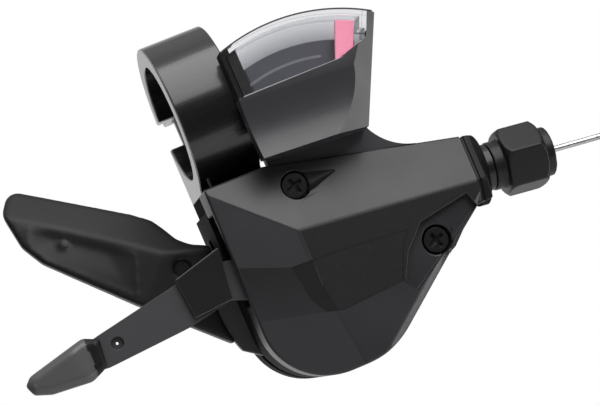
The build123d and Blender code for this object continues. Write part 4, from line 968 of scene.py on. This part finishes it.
@dataclass
class Levers:
    """Thumb lever with its moulded paddle, and release lever with its cap; sizes in millimetres."""

    field: Outline = (
        (-36.8, -6.6), (-24.4, -16.4), (-20.4, -19.6), (-23.4, -27.2), (-36.0, -14.3), (-37.7, -9.6))
    field_depth: float = 0.55
    field_slope: float = 6.0
    field_facing: float = -0.2
    hole: Pair = (-30.8, -33.5)
    hole_through: float = 0.7
    hole_share: float = 0.45
    cap_root: float = -36.0
    cap_dip: float = 0.8
    cap_spread: float = 1.5
    cap_middle_y: float = -9.0
    # which faces get the painted edge highlight
    highlight_facing: Pair = (-0.92, -0.3)

    def run_out_field(self, paddle: Piece) -> None:
        """Lets the sunk field of the paddle come up to the surface away from its upper edge."""
        start, end = Vector(self.field[0]), Vector(self.field[2])
        along = (end - start).normalized()
        for vertex in paddle.data.vertices:
            spot = (vertex.co.x / MM, vertex.co.z / MM)
            if vertex.normal.y < self.field_facing and inside(spot, self.field):
                off = Vector(spot) - start
                below = abs(off.x * along.y - off.y * along.x) / self.field_slope
                ends = min(off.dot(along), (end - start).length - off.dot(along)) / self.field_slope
                share = max(min(below, 1.0), 1.0 - max(min(ends, 1.0), 0.0))
                vertex.co.y -= self.field_depth * ease(share) * MM

    def narrow_hole(self, lever: Piece) -> None:
        """Draws the small hole behind the sunk ring in the release lever together."""
        for vertex in lever.data.vertices:
            x, z = vertex.co.x / MM - self.hole[0], vertex.co.z / MM - self.hole[1]
            if math.hypot(x, z) < self.hole_through:
                vertex.co.x = (self.hole[0] + x * self.hole_share) * MM
                vertex.co.z = (self.hole[1] + z * self.hole_share) * MM

    def dip_root(self, cap: Piece) -> None:
        """Presses a saddle into the cap's front, where it meets the lever."""
        for vertex in cap.data.vertices:
            if vertex.co.y < self.cap_middle_y * MM:
                off = (vertex.co.x / MM - self.cap_root) / self.cap_spread
                vertex.co.y += self.cap_dip * MM * math.exp(-(off ** 2))

    def is_edge_highlight(self, face: Face) -> bool:
        """Says whether a face lies on the shroud's front edges, which get a painted highlight."""
        return self.highlight_facing[0] < face.normal.y < self.highlight_facing[1]

    def is_root_shade(self, face: Face) -> bool:
        """Says whether a face of the cap lies at its root, painted dark as the shade where it meets the
        lever.
        """
        return face.center.x > self.cap_root * MM

    def build(self) -> None:
        """Builds and dresses both levers."""
        paddle = moulded_copy("thumb_paddle", "thumb_paddle_finish", grid_mm=0.35, passes=24,
                              after=self.run_out_field)
        place(paddle, Ride.THUMB, "paddle_plastic", PADDLE)
        lever = finished_copy("main_lever", "main_lever_finish", round_mm=0.25)
        place(lever, Ride.THUMB, "lever_black", PAINTED)
        arm = finished_copy("release_lever", "release_lever_finish", round_mm=0.3, before=self.narrow_hole)
        place(arm, Ride.RELEASE, "lever_black", PAINTED)
        shroud = finished_copy("lever_shroud", "lever_shroud_finish", round_mm=0.3)
        place(shroud, Ride.RELEASE, "case_plastic", SHROUD_AND_SHADE)
        # painted highlight on the front edges
        paint_faces(shroud, EDGE, self.is_edge_highlight)
        cap = moulded_copy("finger_cap", "finger_cap_finish", grid_mm=0.25, passes=16, after=self.dip_root)
        place(cap, Ride.RELEASE, "cap_plastic", CAP)
        # painted shade where the cap meets the lever
        paint_faces(cap, SHROUD_AND_SHADE, self.is_root_shade)


@dataclass
class CableEnd:
    """Barrel adjuster, turned as in the photograph; sizes in millimetres, the turn in degrees."""

    centre: Triple = (58.33, -2.9, -32.009)
    axis: Triple = (0.991445, 0.0, -0.130526)
    turn: float = -19.4

    def build(self) -> None:
        """Builds, turns and dresses the adjuster."""
        knob = moulded_copy("barrel_adjuster", "barrel_adjuster_finish", grid_mm=0.16, passes=10)
        middle = Matrix.Translation(Vector(self.centre) * MM)
        spin = Matrix.Rotation(math.radians(self.turn), 4, Vector(self.axis))
        knob.data.transform(middle @ spin @ middle.inverted())
        place(knob, Ride.ADJUSTER, "knob_plastic", KNOB)


@dataclass
class Mechanism:
    """Inner parts that keep their solids and get a finish each."""

    steel: tuple[str, ...] = (
        "base_bracket", "main_axle", "axle_clip", "axle_spacer", "needle_pin",
        "winding_ratchet", "holding_ratchet", "winding_pawl", "holding_pawl",
        "winding_pawl_pin", "holding_pawl_pin", "return_spring", "lever_spring",
        "release_spring", "adjuster_sleeve")

    def dress(self) -> None:
        """Gives each inner node its material."""
        finishes: dict[str, Finish] = {node: PLAIN_STEEL for node in self.steel}
        finishes |= {"cable_spool": DRUM, "cable_head": WIRE, "inner_cable": WIRE, "coil_tie": KNOB}
        finishes |= {"paddle_rivet": BLACK_SCREW, "adjuster_spring": BLACK_SCREW}
        for node, finish in finishes.items():
            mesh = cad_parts[node].data
            mesh.materials.clear()
            mesh.materials.append(finish.material())
            log.info("%s keeps its solid in %s", node, finish.name)


@dataclass(frozen=True)
class Lamp:
    """A rectangular soft box: its name, its place and size in metres, and its watts."""

    name: str
    where: Triple
    size: Pair
    power: float


@dataclass
class Studio:
    """Camera at the photograph's angle, soft boxes, pale floor and white surroundings."""

    target: Triple = (10.9, 0.0, -22.65)
    distance: float = 320.0
    azimuth: float = -11.0
    elevation: float = -3.0
    roll: float = 23.4
    focal_px: float = 1728.0
    frame_px: float = 600.0
    sensor_mm: float = 36.0
    near_m: float = 0.01
    floor_at: Triple = (-0.05, 0.0, -0.16)
    floor_size: float = 0.36
    room_colour: str = "#f4f4f6"
    room_light: Pair = (0.1, 0.8)
    ceiling: Pair = (0.55, 0.95)
    sheet: Pair = (0.7, 0.94)
    mirrored: float = 0.9
    lamps: tuple[Lamp, ...] = (
        Lamp("soft_box_top", (0.17, -0.345, 0.38), (0.46, 0.62), 3.2),
        Lamp("soft_box_left", (-0.28, -0.55, -0.05), (0.22, 0.35), 0.25),
        Lamp("soft_box_right", (0.40, -0.09, -0.30), (0.25, 0.40), 1.0))

    def camera(self) -> None:
        """Makes the camera."""
        a, e, r = (math.radians(v) for v in (self.azimuth, self.elevation, self.roll))
        back = Vector((math.sin(a) * math.cos(e), -math.cos(a) * math.cos(e), math.sin(e)))
        side = Vector((0, 0, 1)).cross(back).normalized()
        rise = back.cross(side)
        right = side * math.cos(r) - rise * math.sin(r)
        up = side * math.sin(r) + rise * math.cos(r)
        data = bpy.data.cameras.new("camera")
        data.sensor_width = self.sensor_mm
        data.sensor_fit = "HORIZONTAL"
        data.lens = self.focal_px / self.frame_px * data.sensor_width
        data.clip_start = self.near_m
        camera = bpy.data.objects.new("camera", data)
        turn = Matrix((right, up, back)).transposed().to_4x4()
        camera.matrix_world = Matrix.Translation((Vector(self.target) + back * self.distance) * MM) @ turn
        bpy.context.scene.collection.objects.link(camera)
        bpy.context.scene.camera = camera

    def soft_box(self, lamp: Lamp) -> None:
        """Hangs a lamp that looks at the shifter."""
        data = bpy.data.lights.new(lamp.name, "AREA")
        data.shape = "RECTANGLE"
        data.size, data.size_y = lamp.size
        data.energy = lamp.power
        box = bpy.data.objects.new(lamp.name, data)
        box.location = lamp.where
        aim = Vector(self.target) * MM - Vector(lamp.where)
        box.rotation_euler = aim.to_track_quat("-Z", "Y").to_euler()
        bpy.context.scene.collection.objects.link(box)

    def surroundings(self) -> None:
        """Makes the world: dim for the light it gives, white where it is seen."""
        world = bpy.data.worlds.new("surroundings")
        bpy.context.scene.world = world
        world.use_nodes = True
        tree = world.node_tree
        tree.nodes.clear()
        path = add_node(tree, "ShaderNodeLightPath")
        way = add_node(tree, "ShaderNodeTexCoord").outputs["Generated"]
        parts = add_node(tree, "ShaderNodeSeparateXYZ", {"Vector": way})
        # the white sheet hangs behind the object, so mirrored and bent rays find it only there
        behind = spread(tree, parts.outputs["Y"], self.sheet)
        through = add_node(tree, "ShaderNodeMath", {
            0: path.outputs["Is Glossy Ray"], 1: self.mirrored, 2: path.outputs["Is Transmission Ray"]},
            operation="MULTIPLY_ADD")
        bent = add_node(tree, "ShaderNodeMath", {
            0: through.outputs["Value"], 1: behind}, operation="MULTIPLY")
        white = add_node(tree, "ShaderNodeMath", {
            0: path.outputs["Is Camera Ray"], 1: bent.outputs["Value"]}, operation="MAXIMUM")
        # dark round the camera, with a paler ceiling
        glow = spread(tree, parts.outputs["Z"], self.ceiling, self.room_light)
        room = add_node(tree, "ShaderNodeBackground", {"Color": srgb(self.room_colour), "Strength": glow})
        sheet = add_node(tree, "ShaderNodeBackground", {"Color": (1, 1, 1, 1), "Strength": 1.0})
        mix = add_node(tree, "ShaderNodeMixShader", {
            0: white.outputs["Value"], 1: room.outputs["Background"], 2: sheet.outputs["Background"]})
        add_node(tree, "ShaderNodeOutputWorld", {"Surface": mix.outputs["Shader"]})

    def floor(self) -> None:
        """Lays a pale floor below the held-up object."""
        deselect_all()
        bpy.ops.mesh.primitive_plane_add(size=self.floor_size, location=self.floor_at)
        floor = bpy.context.object
        floor.name = "floor"
        bpy.ops.object.transform_apply(location=True)
        floor.data.materials.append(PAPER.material())

    def light(self) -> None:
        """Hangs the lamps and makes the floor and the world."""
        for lamp in self.lamps:
            self.soft_box(lamp)
        self.surroundings()
        self.floor()
        bpy.context.scene.view_settings.view_transform = "Standard"


def main() -> None:
    """Builds the shifter's looks in order."""
    logging.basicConfig(level=logging.INFO)
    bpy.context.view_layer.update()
    studio = Studio()
    studio.camera()
    ShiftWire().build()
    for assembly in (Clamp(), Body(), GearDisplay(), Levers(), CableEnd()):
        assembly.build()
    Mechanism().dress()
    studio.light()
    deselect_all()


if __name__ == "__main__":
    main()
